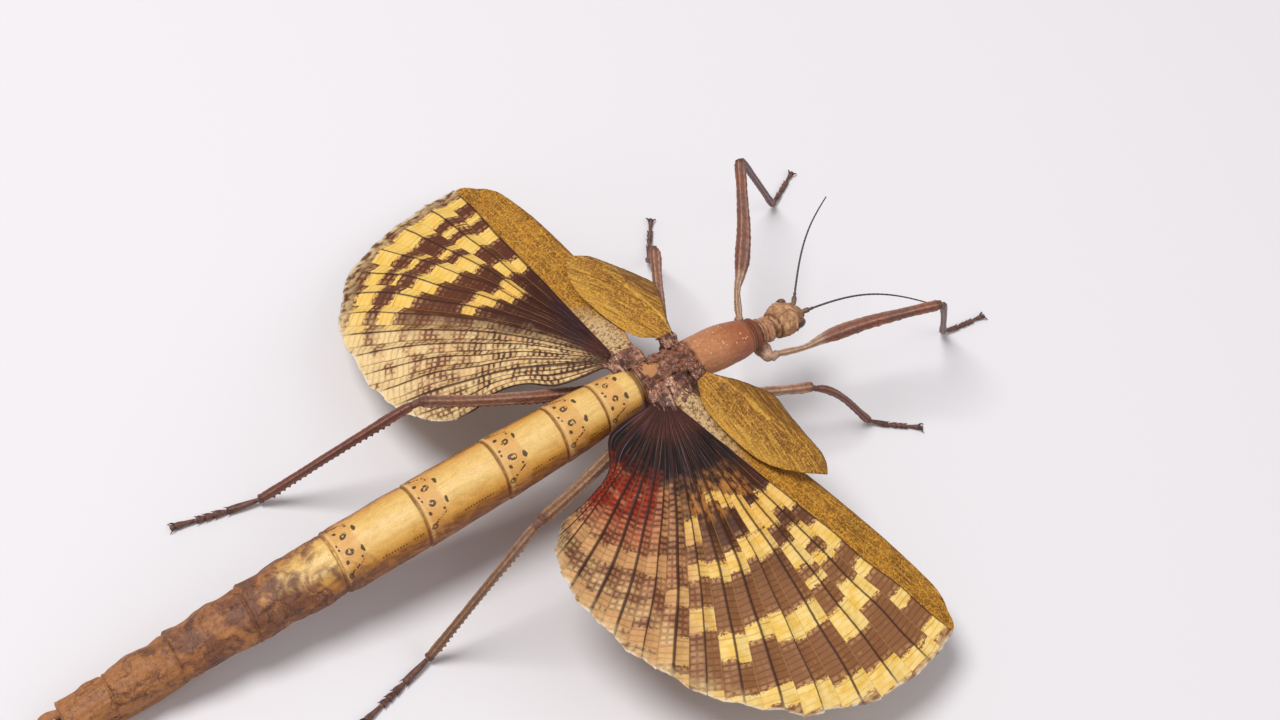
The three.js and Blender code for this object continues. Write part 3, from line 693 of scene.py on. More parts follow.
# Degrees between two ribs of the fan.
def veinGap(wing):
    return (wing["border"] - wing["outer"]) / wing["veins"]


# Columns of the fan: in each space between veins a few fixed shares, and one on each side of the vein
# that keeps its distance from it in millimetres.
def fanColumns(wing, reach):
    near = np.clip(wingMake["veinHalfWidth"] / (reach * math.radians(veinGap(wing))), 0.02, 0.16)[:, None]
    spots = np.array([0.2, 0.3, 0.4, 0.46, 0.5, 0.54, 0.6, 0.7, 0.8])[None, :] + 0 * near
    spots[:, 3], spots[:, 5] = 0.5 - near[:, 0] * 0.5, 0.5 + near[:, 0] * 0.5
    local = np.concatenate([0 * near, near, spots, 1 - near], axis=1)
    count = wing["veins"] + wingMake["innerVeins"]
    columns = (np.arange(count)[None, :, None] + local[:, None, :]).reshape(len(reach), -1)
    return np.concatenate([columns, np.full((len(reach), 1), float(count))], axis=1)


# A rib's heading: even steps up to the last regular rib, each curling forward toward the root, then on
# to the anal edge.
def ribHeading(wing, vein, reach):
    count = np.minimum(vein, wing["veins"])
    curl = wing["curl"] * np.clip(1 - reach / 60, -0.2, 1) * count ** 2 / (count ** 2 + 9)
    regular = wing["border"] - (count - curl) * veinGap(wing)
    past = held((vein - wing["veins"]) / wingMake["innerVeins"])
    return regular + (spline(wing["analEdge"], reach) - regular) * past


# How far, in millimetres, a point lies inside the nearest pale band; the bands run across the fan,
# shifted a little for each half of the space between two veins.
def bandDepth(wing, vein, reach, seed):
    column = np.floor(vein + 0.5)
    half = np.floor(vein * 2).astype(int)
    source = seeded(seed)
    shift = (source.random(64) - 0.5)[half] * 0.9
    depth = np.full(vein.shape, -9)
    for ring in wing["rings"]:
        veins, reaches, widths = zip(*ring)
        centre = np.interp(column, veins, reaches)
        width = np.interp(column, veins, widths) * (0.85 + 0.3 * source.random(64)[half])
        depth = np.maximum(depth, np.where(width > 0.3, width - np.abs(reach - centre - shift), -9))
    return depth


# Point at a heading and reach: out along the rib and down by the droop of its share of the fan.
def ribPoint(wing, side, heading, reach):
    edge = spline(wing["analEdge"], reach)
    share = held((wing["border"] - heading) / (wing["border"] - edge))
    fall, turn = np.radians(spline(wing["droop"], share)), np.radians(heading)
    level = reach * np.cos(fall)
    x, out, up = wing["apex"]
    return xyz(x + level * np.sin(turn), side * (out + level * np.cos(turn)), up - reach * np.sin(fall))


# The fan with its folds: up at each main vein, down half-way between, deeper where it is wide; the
# margin bulges between veins and is a little torn.
def fanGrid(wing, side, seed):
    run = np.linspace(0, 1, wingMake["rows"]) ** wingMake["rowBias"]
    veinOuter = fanColumns(wing, np.full(1, 55))[0]
    ribLength = np.full_like(veinOuter, 60)
    for _ in range(5):
        opened = wing["border"] - spline(wing["analEdge"], ribLength)
        outerShare = (wing["border"] - ribHeading(wing, veinOuter, ribLength)) / opened
        ribLength = spline(wing["ribs"], held(outerShare))
    meanReach = wingMake["root"] + (60 - wingMake["root"]) * run
    vein = fanColumns(wing, meanReach)
    between = vein % 1
    torn = seeded(seed).normal(0, 0.07, vein.shape[1])
    torn = torn + 0.25 * waves(seed, (0.9, 3.5), vein[0])
    torn = torn - 0.3 * np.abs(np.cos(np.pi * vein[0]))
    outermost = ease(run, 0.9, 1)[:, None]
    length = ribLength[None, :] - 0.6 + torn[None, :] * outermost
    reach = wingMake["root"] + (length - wingMake["root"]) * run[:, None]
    heading = ribHeading(wing, vein, reach)
    points = ribPoint(wing, side, heading, reach)
    alongColumns, alongRows = np.gradient(points, axis=1), np.gradient(points, axis=0)
    normal = unit(np.cross(alongColumns, alongRows) + 1e-9)
    normal = normal * np.sign(normal[..., 2:])
    spread = ease(reach, 4, 42) * (1 - 0.3 * outermost)
    squeezed = 1 - ease(vein, wing["veins"] - 0.5, wing["veins"] + 0.5)
    fold = np.abs(2 * between - 1) * 2 - 1
    each = 0.75 + 0.5 * seeded(seed + 1).random(64)[np.minimum(vein.astype(int), 63)]
    lift = fold * wingMake["pleat"] * spread * (0.15 + 0.85 * squeezed) * each
    lift = lift + 0.35 * waves(seed + 2, (9, 26), reach, vein * 4) * spread * squeezed
    lift = lift + 0.035 * waves(seed + 3, (0.9, 2.2), reach, vein * 5) * squeezed
    points = points + normal * lift[..., None]
    away = np.minimum(between, 1 - between)
    millimetres = reach * math.radians(veinGap(wing))
    mainVein = bell(away * millimetres, 0, wingMake["veinHalfWidth"])
    halfVein = bell((between - 0.5) * millimetres, 0, wingMake["veinHalfWidth"] * 0.6)
    thick = wingMake["skin"] + wingMake["veinHeight"] * (mainVein + 0.45 * halfVein)
    thick = thick * (1 - 0.6 * outermost)
    return points, normal, thick, vein, reach, length, run


# The leathery strip ahead of the border rib: it leans out from it by the strip's width, with four
# long veins and a rounded tip.
def stripGrid(wing, side, run, length):
    ahead = np.linspace(1, 0, wingMake["stripColumns"])[None, :-1]
    reach = wingMake["root"] + (length[:, :1] - wingMake["root"]) * run[:, None]
    reach = reach - 2.6 * ahead ** 2.2 * ease(run, 0.86, 1)[:, None]
    rib = ribPoint(wing, side, wing["border"] + 0 * reach, reach)
    width = spline(wingMake["stripWidth"], run)[:, None]
    turn = math.radians(wing["border"])
    forward = np.array([math.cos(turn), -side * math.sin(turn), 0])
    rise = ahead * wing["lift"] * width / 8.4 * np.minimum(1, run * 3)[:, None]
    points = rib + forward * (ahead * width)[..., None] + upward * rise[..., None]
    veins = sum(bell(ahead, place, 0.035) for place in wingMake["stripVeins"])
    rough = 0.03 * waves(31, (0.5, 1.6), reach * 0.4, ahead * 8, count=9)
    points[..., 2] += 0.1 * veins + rough + 0.25 * np.sin(np.pi * ahead)
    thick = wingMake["stripSkin"] * (0.5 + np.sqrt(ahead)) + 0.05 * veins
    thick = thick * (1 - 0.7 * np.exp(-(1 - ahead) / 0.03)) * (1 - 0.5 * ease(run, 0.95, 1)[:, None])
    return points, thick, ahead * width, reach


# A hind wing: strip and fan side by side on one grid, thickened both ways along the normal. Gives the
# sheet, and its middle surface for the hinge.
def hindWingPart(word):
    wing, side = hindWings[word], sides[word]
    points, normal, thick, vein, reach, length, run = fanGrid(wing, side, 40 + side)
    strip, stripThick, stripPlace, stripReach = stripGrid(wing, side, run, length)

    def joined(onStrip, onFan):
        return np.concatenate([onStrip, onFan], axis=1)

    middle = joined(strip, points) + origin
    half = joined(np.zeros_like(strip) + upward, normal) * joined(stripThick, thick)[..., None]
    ringIn = bandDepth(wing, vein, reach, 60 + side)
    values = {
        "veinPlace": joined(0 * stripPlace, vein),
        "stripPlace": joined(stripPlace, 0 * vein),
        "reach": joined(stripReach, reach),
        "margin": joined(length[:, :1] - stripReach, length - reach),
        "ringIn": joined(0 * stripPlace, ringIn),
    }
    return sheetPart(middle + half, middle - half, **values), middle


# lead and trail are the leaf's width ahead of and behind its axis, by the share of its length.
foreWings = {
    "left": {"root": (-1.4, 5.7, 31.5), "axis": -3, "droop": 14.5, "tipShift": -0.2},
    "right": {"root": (-0.6, 5.6, 31.5), "axis": 24, "droop": 11, "tipShift": 2.3},
    "length": 31.8,
    "lead": [(0, 1.1), (0.1, 2), (0.25, 4.3), (0.36, 6), (0.43, 6.8), (0.5, 6.5), (0.6, 5),
             (0.72, 3.4), (0.86, 1.7), (0.96, 0.2), (1, -0.9)],
    "trail": [(0, 1.9), (0.06, 3.5), (0.14, 5.1), (0.3, 6.5), (0.5, 7), (0.66, 6.8), (0.82, 5.6),
              (0.92, 4.3), (1, 2.8)],
    "hump": 1.7,
    "branches": ((0.12, -11), (0.28, -10), (0.44, -9), (0.3, 9), (0.48, 8)),  # where each starts, its slope
    "rows": 170,
    "columns": 84,
    "skin": 0.17,
}


# Fore wing: a leaf whose width at each share runs from the trailing to the leading edge, drooping
# outward, with a hump and a raised vein along its middle and branches that slant off it.
def foreWingPart(word):
    wing, side = foreWings[word], sides[word]
    run = np.linspace(0, 1, foreWings["rows"])[:, None]
    across = np.linspace(0, 1, foreWings["columns"])[None, :]
    shift = wing["tipShift"] * ease(run, 0.5, 1)
    lead, trail = spline(foreWings["lead"], run) + shift, spline(foreWings["trail"], run) - shift
    tipRound = np.sqrt(np.clip(1 - held((run - 0.86) / 0.14) ** 2.6, 0.02, 1))
    middleLine = (lead - trail) / 2
    offset = middleLine + (-trail + (lead + trail) * across - middleLine) * tipRound
    axis, droop = math.radians(wing["axis"]), math.radians(wing["droop"])
    along = foreWings["length"] * run * math.cos(droop)
    hump = foreWings["hump"] * bell(offset, 1, 4.2) * np.sin(np.pi * run) ** 0.7
    branches = 0
    for start, slope in foreWings["branches"]:
        line = 1 + (run - start) * slope
        branches = branches + bell(offset, line, 0.16) * ease(run, start, start + 0.05)
    bend = offset - 1 - 0.45 * np.sin(run * 7)
    mainVein = bell(bend, 0, 0.3) * (1 - ease(run, 0.5, 0.85))
    ridge = 0.1 * mainVein + 0.1 * held(branches)
    ridge = ridge + 0.3 * waves(52, (4, 12), offset * 0.6, run * 20)
    rough = 0.05 * waves(51, (0.8, 3), offset, run * 32, count=12)
    x, out, up = wing["root"]
    sag = 1.1 * run ** 1.5 + 0.5 * ease(-offset, 2, 6)
    height = up - foreWings["length"] * run * math.sin(droop) + hump + ridge + rough - sag
    ahead = x + along * math.sin(axis) + offset * math.cos(axis)
    aside = side * (out + along * math.cos(axis) - offset * math.sin(axis))
    middle = xyz(ahead, aside, height) + origin
    edge = np.minimum(across, 1 - across)
    half = foreWings["skin"] * (0.35 + 0.65 * ease(edge, 0, 0.06))
    half = upward * (half * (1 - 0.5 * ease(run, 0.96, 1)))[..., None]
    leaf = sheetPart(middle + half, middle - half, leafAcross=offset, leafAlong=run,
                     leafEdge=(1 - across) * (lead + trail),
                     leafRidge=held(mainVein + 0.7 * branches))
    return leaf, middle


hinge = {
    "rows": 26,
    "columns": 60,
    "fold": 0.24,  # height of the folds
    "halfSkin": 0.09,
    "tuck": 0.7,  # how far the skin dives under the wing
    "bodyHeight": 0.74,  # where it leaves the body, as a share of the body's half height
    "bodyOut": 2.9,
    # for the hind and the fore wing: every how many columns of the wing's root are followed, how much
    # shorter the line on the body is, and the seed of the folds
    "roots": ((6, 0.8, 80), (8, 0.9, 87)),
}


# Points of a curve at even steps of their number.
def evenly(curve, columns):
    steps = np.linspace(0, 1, len(curve))
    return np.stack([np.interp(columns, steps, curve[:, i]) for i in range(3)], -1)


# Crumpled skin from the body's side to a wing's root: straight lines between two curves, folded along
# them, and tucked under the wing at its end.
def hingePart(bodyCurve, rootCurve, seed):
    share = np.linspace(0, 1, hinge["rows"])[:, None]
    columns = np.linspace(0, 1, hinge["columns"])
    along = columns[None] * 16
    body, root = evenly(bodyCurve, columns), evenly(rootCurve, columns)
    middle = body[None] * (1 - share[..., None]) + root[None] * share[..., None]
    crumple = waves(seed, (1.2, 4.2), share * 3, along, count=14)
    loose = np.sin(np.pi * np.clip(share, 0.02, 0.98)) ** 0.6
    tuck = hinge["tuck"] * ease(share, 0.8, 1)
    middle[..., 2] += hinge["fold"] * loose * (crumple + 0.9) - tuck
    middle[..., 0] += 0.25 * loose * waves(seed + 1, (1, 3), share * 3, columns[None] * 10)
    half = upward * hinge["halfSkin"]
    return sheetPart(middle + half, middle - half, crumple=crumple, hingeShare=share, hingeAlong=along)


# The head's own frame: x runs forward from the neck, y to her left, z up; turned and nodded as in
# the solids.
head = {
    "neck": (22.1, 0.3, 24.3),
    "turn": 10,
    "nod": 9,
    "length": 8.7,
    # share of the length, height of the centre, half width, half height
    "form": [(0, 0, 1.9, 1.8), (0.08, 0.05, 2.7, 2.4), (0.25, 0.15, 3.4, 2.95), (0.45, 0.15, 3.62, 3.1),
             (0.65, 0, 3.38, 2.95), (0.82, -0.35, 2.88, 2.55), (0.94, -0.75, 2.3, 2.05),
             (1, -0.95, 1.9, 1.7)],
    "rows": 132,
    "columns": 128,
    "neckRows": 26,
    "eye": (5.9, 3, 0.9),
    "eyeSize": (1.45, 1, 1.2),
    "feeler": (8.3, 1.35, 1.35),
    "feelerLength": 28,
    "feelerHeading": {"left": 41, "right": 27},
    "feelerSway": {"left": 1.7, "right": 2.0},
    "feelerRise": 2.2,
    "feelerGirth": (0.23, 0.13),
    "feelerRoot": [(-0.02, 0.45), (0, 0.5), (0.02, 0.56), (0.045, 0.5), (0.052, 0.3), (0.07, 0.34),
                   (0.08, 0.25), (0.085, 0)],  # girth of the first two joints
    "feelerJoints": 30,
    "feelerRows": 420,
}


# Points of the head's frame turned about z, nodded about y and moved to the neck.
def headPlace(local):
    turn, nod = math.radians(head["turn"]), math.radians(head["nod"])
    turned = np.array([[math.cos(turn), -math.sin(turn), 0], [math.sin(turn), math.cos(turn), 0], [0, 0, 1]])
    nodded = np.array([[math.cos(nod), 0, math.sin(nod)], [0, 1, 0], [-math.sin(nod), 0, math.cos(nod)]])
    return np.asarray(local) @ (turned @ nodded).T + np.array(head["neck"]) + origin


# Head capsule: ellipses along its length, rounded at both ends, with a groove behind the cheeks, a
# fine middle line, brows over the feelers, a ring round each eye and small grains.
def headCapsule():
    share = np.sin(np.linspace(-0.5, 0.5, head["rows"]) * np.pi)[:, None] / 2 + 0.5
    turn = np.linspace(-np.pi, np.pi, head["columns"], endpoint=False)[None, :]
    centre, wide, high = np.moveaxis(spline(head["form"], share), -1, 0)
    degrees = np.abs(np.degrees(turn))
    x = share * head["length"]
    around = turn * 3.2
    roundEnds = np.sqrt(np.clip(1 - held(1 - share / 0.035) ** 2, 0.01, 1))
    roundEnds = roundEnds * np.sqrt(np.clip(1 - held((share - 0.93) / 0.07) ** 2, 0.01, 1))
    grooves = -0.3 * bell(share, 0.105, 0.022) + 0.16 * bell(share, 0.15, 0.03)
    middle = -0.13 * bell(degrees, 0, 2.6) * ease(share, 0.12, 0.25)
    middle = middle * (1 - ease(share, 0.6, 0.7))
    slant = bell(degrees - 24, 22 * (0.72 - share) / 0.3, 4) * ease(share, 0.4, 0.5)
    slant = slant * (1 - ease(share, 0.72, 0.8))
    brow = 0.34 * np.exp(-((degrees - 33) / 13) ** 2 - ((share - 0.9) / 0.05) ** 2)
    between = -0.22 * np.exp(-(degrees / 13) ** 2 - ((share - 0.86) / 0.07) ** 2)
    ex, ey, ez = head["eye"]
    eyeTurn = math.degrees(math.atan2(ey, ez - 0.1))
    away = np.hypot((x - ex) / head["eyeSize"][0], (degrees - eyeTurn) / 21)
    socket = 0.3 * bell(away, 1.12, 0.17)
    cheek = 0.28 * np.exp(-((share - 0.4) / 0.14) ** 2 - ((degrees - 82) / 26) ** 2)
    faceLine = -0.16 * bell(share, 0.955, 0.014) * ease(degrees, 20, 40)
    grains = waves(61, (0.45, 1.3), x, around, count=12)
    grains = 0.05 * np.clip(grains, -0.2, 2) + 0.045 * waves(62, (1.2, 3.4), x, around)
    lift = grooves + middle - 0.1 * slant + brow + between + socket + cheek + faceLine + grains
    lift = lift * ease(roundEnds, 0.2, 0.8)
    y, z = np.sin(turn) * wide * roundEnds, np.cos(turn) * high * roundEnds
    normal = unit(xyz(0, np.sin(turn) / wide, np.cos(turn) / high))
    points = xyz(x, y, z + centre) + normal * lift[..., None]
    return tubePart(headPlace(points), headShare=share, headTurn=degrees, eyeAway=away)


# The mouth, each piece as a bent line of (share, x, y, z), the girths along it and how flat it is.
mouth = {
    "middle": [  # upper lip, its flap, lower lip
        ([(0, 8.2, 0, -0.4), (0.5, 9.35, 0, -0.75), (1, 10.15, 0, -1.75)],
         [(0, 1.5), (0.5, 1.62), (1, 1.1)], 0.5),
        ([(0, 9.5, 0, -1.25), (0.6, 10.2, 0, -2), (1, 10.35, 0, -2.7)],
         [(0, 1.2), (0.6, 1.3), (1, 0.8)], 0.45),
        ([(0, 7.6, 0, -2.9), (1, 9.6, 0, -3.35)], [(0, 1.1), (0.6, 1.15), (1, 0.7)], 0.55),
    ],
    "beside": [  # on each side the jaw, three joints of the outer palp, the inner palp
        ([(0, 8.1, 1.7, -1.6), (0.5, 9.3, 1.55, -2.1), (1, 10.1, 0.45, -2.7)],
         [(0, 0.85), (0.5, 0.75), (1, 0.3)], 0.9),
        ([(0, 8, 1.75, -2.5), (1, 9, 2.15, -3.1)], [(0, 0.36), (0.7, 0.4), (1, 0.3)], 1),
        ([(0, 8.95, 2.1, -3.05), (1, 9.9, 2, -3.4)], [(0, 0.27), (0.7, 0.33), (1, 0.25)], 1),
        ([(0, 9.85, 2, -3.4), (1, 10.4, 1.5, -3.95)], [(0, 0.22), (0.7, 0.28), (1, 0.2)], 1),
        ([(0, 8.6, 0.8, -3.3), (1, 9.6, 0.95, -3.85)], [(0, 0.24), (0.7, 0.28), (1, 0.2)], 1),
    ],
    "kind": 5,
    "rows": 22,
    "middleColumns": 26,
    "besideColumns": 18,
}


# A bead-shaped or blade-shaped piece of the mouth: an ellipse whose girth follows a table along a
# bent line, in the head's frame; side turns it over to her other side.
def mouthPiece(points, girths, flatten, columns, side=1):
    share = np.linspace(0, 1, mouth["rows"])
    path = headPlace(spline(np.multiply(points, (1, 1, side, 1)), share))
    wide = spline(girths, share)
    return limbPart(path, wide, wide * flatten, mouth["kind"], columns)


# All pieces of the mouth: those on the middle line, then each side's.
def mouthParts():
    parts = [mouthPiece(*piece, mouth["middleColumns"]) for piece in mouth["middle"]]
    for side in sides.values():
        parts += [mouthPiece(*piece, mouth["besideColumns"], side) for piece in mouth["beside"]]
    return parts


# The soft neck between the head and the front ring, with folds round it: a sine along its girth.
def neckPart():
    start, end = headPlace((1, 0, 0)), origin + np.array([20.4, 0, 25])
    path = straightPath(start, end, head["neckRows"])
    girth = 1.85 + 0.16 * np.sin(np.linspace(0, 1, len(path)) * 19)
    return limbPart(path, girth, girth, mouth["kind"], 40, plainForm)


# An eye: half of an ellipsoid stands out of the head. Its value eyeOut is 1 at its outermost point.
def eyePart(word):
    side = sides[word]
    x, outward, height = head["eye"]
    halfLength, halfDepth, halfHeight = head["eyeSize"]
    fall = np.linspace(0.03, np.pi - 0.03, 30)[:, None]
    turn = np.linspace(0, 2 * np.pi, 44, endpoint=False)[None, :]
    ball = xyz(x + halfLength * np.sin(fall) * np.cos(turn), side * (outward + halfDepth * np.cos(fall)),
               height + halfHeight * np.sin(fall) * np.sin(turn))
    return tubePart(headPlace(ball), eyeOut=np.cos(fall))


# A feeler: a line from the brow, bent by half a sine and raised, beaded by its joints, the first two
# stouter.
def feelerPart(word):
    side = sides[word]
    x, outward, height = head["feeler"]
    root = headPlace((x, side * outward, height))
    heading = math.radians(head["feelerHeading"][word])
    share = np.linspace(-0.02, 1, head["feelerRows"])
    away = np.array([math.cos(heading), side * math.sin(heading), 0])
    across = np.array([-away[1], away[0], 0])
    bend = np.sin(np.pi * held(share))
    path = root + share[:, None] * head["feelerLength"] * away
    path = path + (head["feelerSway"][word] * bend)[:, None] * across
    path[:, 2] += head["feelerRise"] * share + head["feelerRise"] * bend
    base, tip = head["feelerGirth"]
    girth = base + (tip - base) * share
    step = (share * head["feelerJoints"] * (1.25 - 0.25 * share)) % 1
    beads = 1 + 0.16 * held((step - 0.6) / 0.4) - 0.12 * (step < 0.12)
    girth = np.maximum(girth * beads, spline(head["feelerRoot"], share))
    return limbPart(path, girth, girth, 6, 12, plainForm)


tailShape = {
    "plate": (-104.2, -142.8),  # front and back of the plate under the last rings
    "plateWidth": 3.95,
    "plateRise": 3.2,
    "keel": [(0, 0.25), (0.15, 0.75), (0.5, 1), (0.8, 0.85), (1, 0.3)],
    "lift": [(0, 5.6), (0.3, 2.6), (0.6, 1.2), (0.85, 1), (1, 1.4)],
    "depth": [(0, 0.9), (0.3, 1.9), (0.6, 1.6), (0.85, 1.2), (1, 0.5)],
    "rows": 130,
    "columns": 90,
    "wrapAngle": 140,
    "cercusRoot": (-137.4, 1.9, 5.1),
    "cercusLength": 5,
    "cercusHeading": 172,
    "cercusWidth": 0.95,
    "cercusForm": [(0, 0.55), (0.35, 0.9), (0.65, 1), (0.9, 0.7), (1, 0.4)],
}


# The egg plate: a boat-shaped scoop round the underside of the last rings, flat where it rests, with
# a blunt keel and wrinkles along it.
def eggPlatePart():
    share = np.linspace(0, 1, tailShape["rows"])[:, None]
    turn = np.radians(np.linspace(-1, 1, tailShape["columns"])[None, :] * tailShape["wrapAngle"])
    front, back = tailShape["plate"]
    x = front + (back - front) * share
    keel, lift, depth = (spline(tailShape[name], share) for name in ("keel", "lift", "depth"))
    below = np.abs(np.degrees(turn)) < 90
    rise = np.where(below, depth, tailShape["plateRise"] * keel)
    wrinkle = 0.07 * waves(71, (0.8, 2.6), x * 0.5, np.degrees(turn) / 18, count=10)
    ends = ease(share, 0, 0.04) * (1 - ease(share, 0.97, 1))
    y = np.sin(turn) * tailShape["plateWidth"] * keel * (1 + 0.02 * wrinkle)
    z = lift - np.cos(turn) * rise + wrinkle * ends
    outer = xyz(x, y, np.maximum(z, 0.02))
    inner = outer - np.array([0, 1, 0]) * y[..., None] * 0.16
    inner[..., 2] = inner[..., 2] + (lift + 1.2 - outer[..., 2]) * 0.18
    inner[..., 2] = np.maximum(inner[..., 2], 0.3)
    return sheetPart(outer + origin, inner + origin, ringShare=share * 0.9, ringNumber=12,
                     fromHind=x - back, sideways=5 + np.abs(y), upness=-np.cos(turn))


# A leaf-shaped tail lobe: flat, wider past its root, with a blunt tip.
def cercusPart(word):
    side = sides[word]
    x, outward, height = tailShape["cercusRoot"]
    heading = math.radians(tailShape["cercusHeading"])
    root = np.array([x, side * outward, height]) + origin
    away = np.array([math.cos(heading), side * math.sin(heading), -0.14])
    share = np.linspace(0, 1, 44)
    path = root - away * 1.2 + away * share[:, None] * (tailShape["cercusLength"] + 0.5)
    wide = tailShape["cercusWidth"] * spline(tailShape["cercusForm"], share)
    part = limbPart(path, wide, wide * 0.45, 0, 26)
    asBack = {"ringShare": 0.5, "ringNumber": 11, "fromHind": 4, "sideways": 4, "upness": 0.9}
    part["values"] = {name: np.full(len(part["points"]), value) for name, value in asBack.items()}
    return part


# Skin between the body's side and each wing's root: the line on the body follows the root, but shorter
# and higher.
def hingeParts(word, fanMiddle, leafMiddle):
    side = sides[word]
    parts = []
    for middle, (gap, squeeze, seed) in zip((fanMiddle, leafMiddle), hinge["roots"]):
        root = middle[4, ::gap] - origin
        x = root[:, 0]
        x = x * squeeze + x.max() * (1 - squeeze) / 2 + x.mean() * (1 - squeeze) / 2
        centre, _, high = trunkAt(x)
        body = xyz(x, side * hinge["bodyOut"], centre + high * hinge["bodyHeight"])
        parts.append(hingePart(body + origin, root + origin, seed + side))
    return parts


print("Stage: skins")


# Colour from red, green and blue of 0 to 255, as a screen shows them.
def paint(red, green, blue):
    screen = np.array([red, green, blue]) / 255
    return (*np.where(screen <= 0.04045, screen / 12.92, ((screen + 0.055) / 1.055) ** 2.4).tolist(), 1)


# The same for a whole set of colours, by name.
def paints(colours):
    return {name: paint(*colour) for name, colour in colours.items()}


# A value, colour or vector that varies over a surface: one shader node's output, and sums with it.
class Field:
    def __init__(self, socket):
        self.socket = socket
        self.tree = socket.id_data

    def sum(self, operation, *others):
        inputs = dict(enumerate((self, *others)))
        return newField(0, self.tree, "Math", inputs, operation=operation)

    __add__ = partialmethod(sum, "ADD")
    __sub__ = partialmethod(sum, "SUBTRACT")
    __mul__ = partialmethod(sum, "MULTIPLY")
    __truediv__ = partialmethod(sum, "DIVIDE")
    most = partialmethod(sum, "MAXIMUM")
    least = partialmethod(sum, "MINIMUM")
    size = partialmethod(sum, "ABSOLUTE")
    power = partialmethod(sum, "POWER")
    whole = partialmethod(sum, "FLOOR")
    rest = partialmethod(sum, "FRACT")
    root = partialmethod(sum, "SQRT")

    # 1 where this is 0, and 0 where this is 1.
    def flip(self):
        return (self * -1) + 1

    # 0 below low, 1 above high, smooth between; the other way round when low is the greater.
    def ease(self, low, high):
        inputs = {"Value": self, "From Min": min(low, high), "From Max": max(low, high),
                  "To Min": low > high, "To Max": low <= high}
        return newField("Result", self.tree, "MapRange", inputs, interpolation_type="SMOOTHSTEP")

    # 1 within reach of a place on this value's scale, fading over soft.
    def near(self, place, reach, soft):
        return (self - place).size().ease(reach + soft, reach)


# A new shader node with its settings, and its inputs by name or number.
def newNode(tree, kind, inputs, **settings):
    node = tree.nodes.new(f"ShaderNode{kind}")
    for name, value in settings.items():
        setattr(node, name, value)
    for name, value in inputs.items():
        plug(value, node.inputs[name])
    return node


# A new node's output, by name or number, as a field.
def newField(output, *given, **settings):
    return Field(newNode(*given, **settings).outputs[output])


# Links a field to a node's input; a plain number or colour is set on the input itself.
def plug(value, socket):
    if isinstance(value, Field):
        socket.id_data.links.new(value.socket, socket)
    else:
        socket.default_value = value


# The piece's own attributes of these names, as attributes of one record.
def surface(tree, *names):
    fields = {name: newField("Fac", tree, "Attribute", {}, attribute_name=name) for name in names}
    return SimpleNamespace(**fields)


# Place on the object, in millimetres.
def place(tree):
    spot = newField("Object", tree, "TexCoord", {})
    return newField(0, tree, "VectorMath", {0: spot, "Scale": 1 / mm}, operation="SCALE")


# A place whose x, y and z are multiplied by three factors.
def stretched(where, factors):
    return newField(0, where.tree, "VectorMath", {0: where, 1: factors}, operation="MULTIPLY")


# A place whose x, y and z are three values, of which the first varies.
def together(x, y=0, z=0):
    return newField(0, x.tree, "CombineXYZ", {0: x, 1: y, 2: z})


# Soft noise from 0 to 1 whose patches are about size millimetres wide.
def noise(where, size, detail=3, rough=0.55, twist=0):
    inputs = {"Vector": where, "Scale": 1 / size, "Detail": detail, "Roughness": rough, "Distortion": twist}
    return newField("Fac", where.tree, "TexNoise", inputs)


# The same noise about 0, from -0.5 to 0.5.
def shake(where, *settings):
    return noise(where, *settings) - 0.5


# Distance to the edges of random cells (edges=True), or from the cells' middles.
def cells(where, size, edges=True, loose=1):
    feature = "DISTANCE_TO_EDGE" if edges else "F1"
    inputs = {"Vector": where, "Scale": 1 / size, "Randomness": loose}
    return newField("Distance", where.tree, "TexVoronoi", inputs, feature=feature)


# A random value from 0 to 1 for each place.
def chance(where):
    return newField("Value", where.tree, "TexWhiteNoise", {"Vector": where}, noise_dimensions="3D")


# One colour over another, by a mask from 0 to 1.
def blend(mask, below, above):
    node = newNode(mask.tree, "Mix", {}, data_type="RGBA")
    colours = [socket for socket in node.inputs if socket.type == "RGBA"]
    for value, socket in ((mask, node.inputs["Factor"]), (below, colours[0]), (above, colours[1])):
        plug(value, socket)
    return Field(next(socket for socket in node.outputs if socket.type == "RGBA"))


# Coats over a base colour, each a mask from 0 to 1 and its colour: a field, or the name of a paint.
def coats(colours, base, *layers):
    def named(colour):
        return colours[colour] if isinstance(colour, str) else colour

    colour = named(base)
    for mask, coat in layers:
        colour = blend(mask, colour, named(coat))
    return colour


# A colour for each value, by stops of (value, name of a paint).
def shades(value, colours, stops):
    low, high = stops[0][0], stops[-1][0]
    node = newNode(value.tree, "ValToRGB", {"Fac": (value - low) / (high - low)})
    band = node.color_ramp
    while len(band.elements) < len(stops):
        band.elements.new(1)
    for element, (spot, name) in zip(band.elements, stops):
        element.position = (spot - low) / (high - low)
        element.color = colours[name]
    return Field(node.outputs["Color"])


# A normal bent by a height from 0 to 1 that stands for a depth in millimetres.
def bump(height, depth):
    inputs = {"Strength": 1, "Distance": depth * mm, "Height": height}
    return newField("Normal", height.tree, "Bump", inputs)


# A node's sockets as a record of fields, by their names in small letters; a spare one has no name.
def record(sockets):
    return SimpleNamespace(**{socket.name.lower(): Field(socket) for socket in sockets if socket.name})


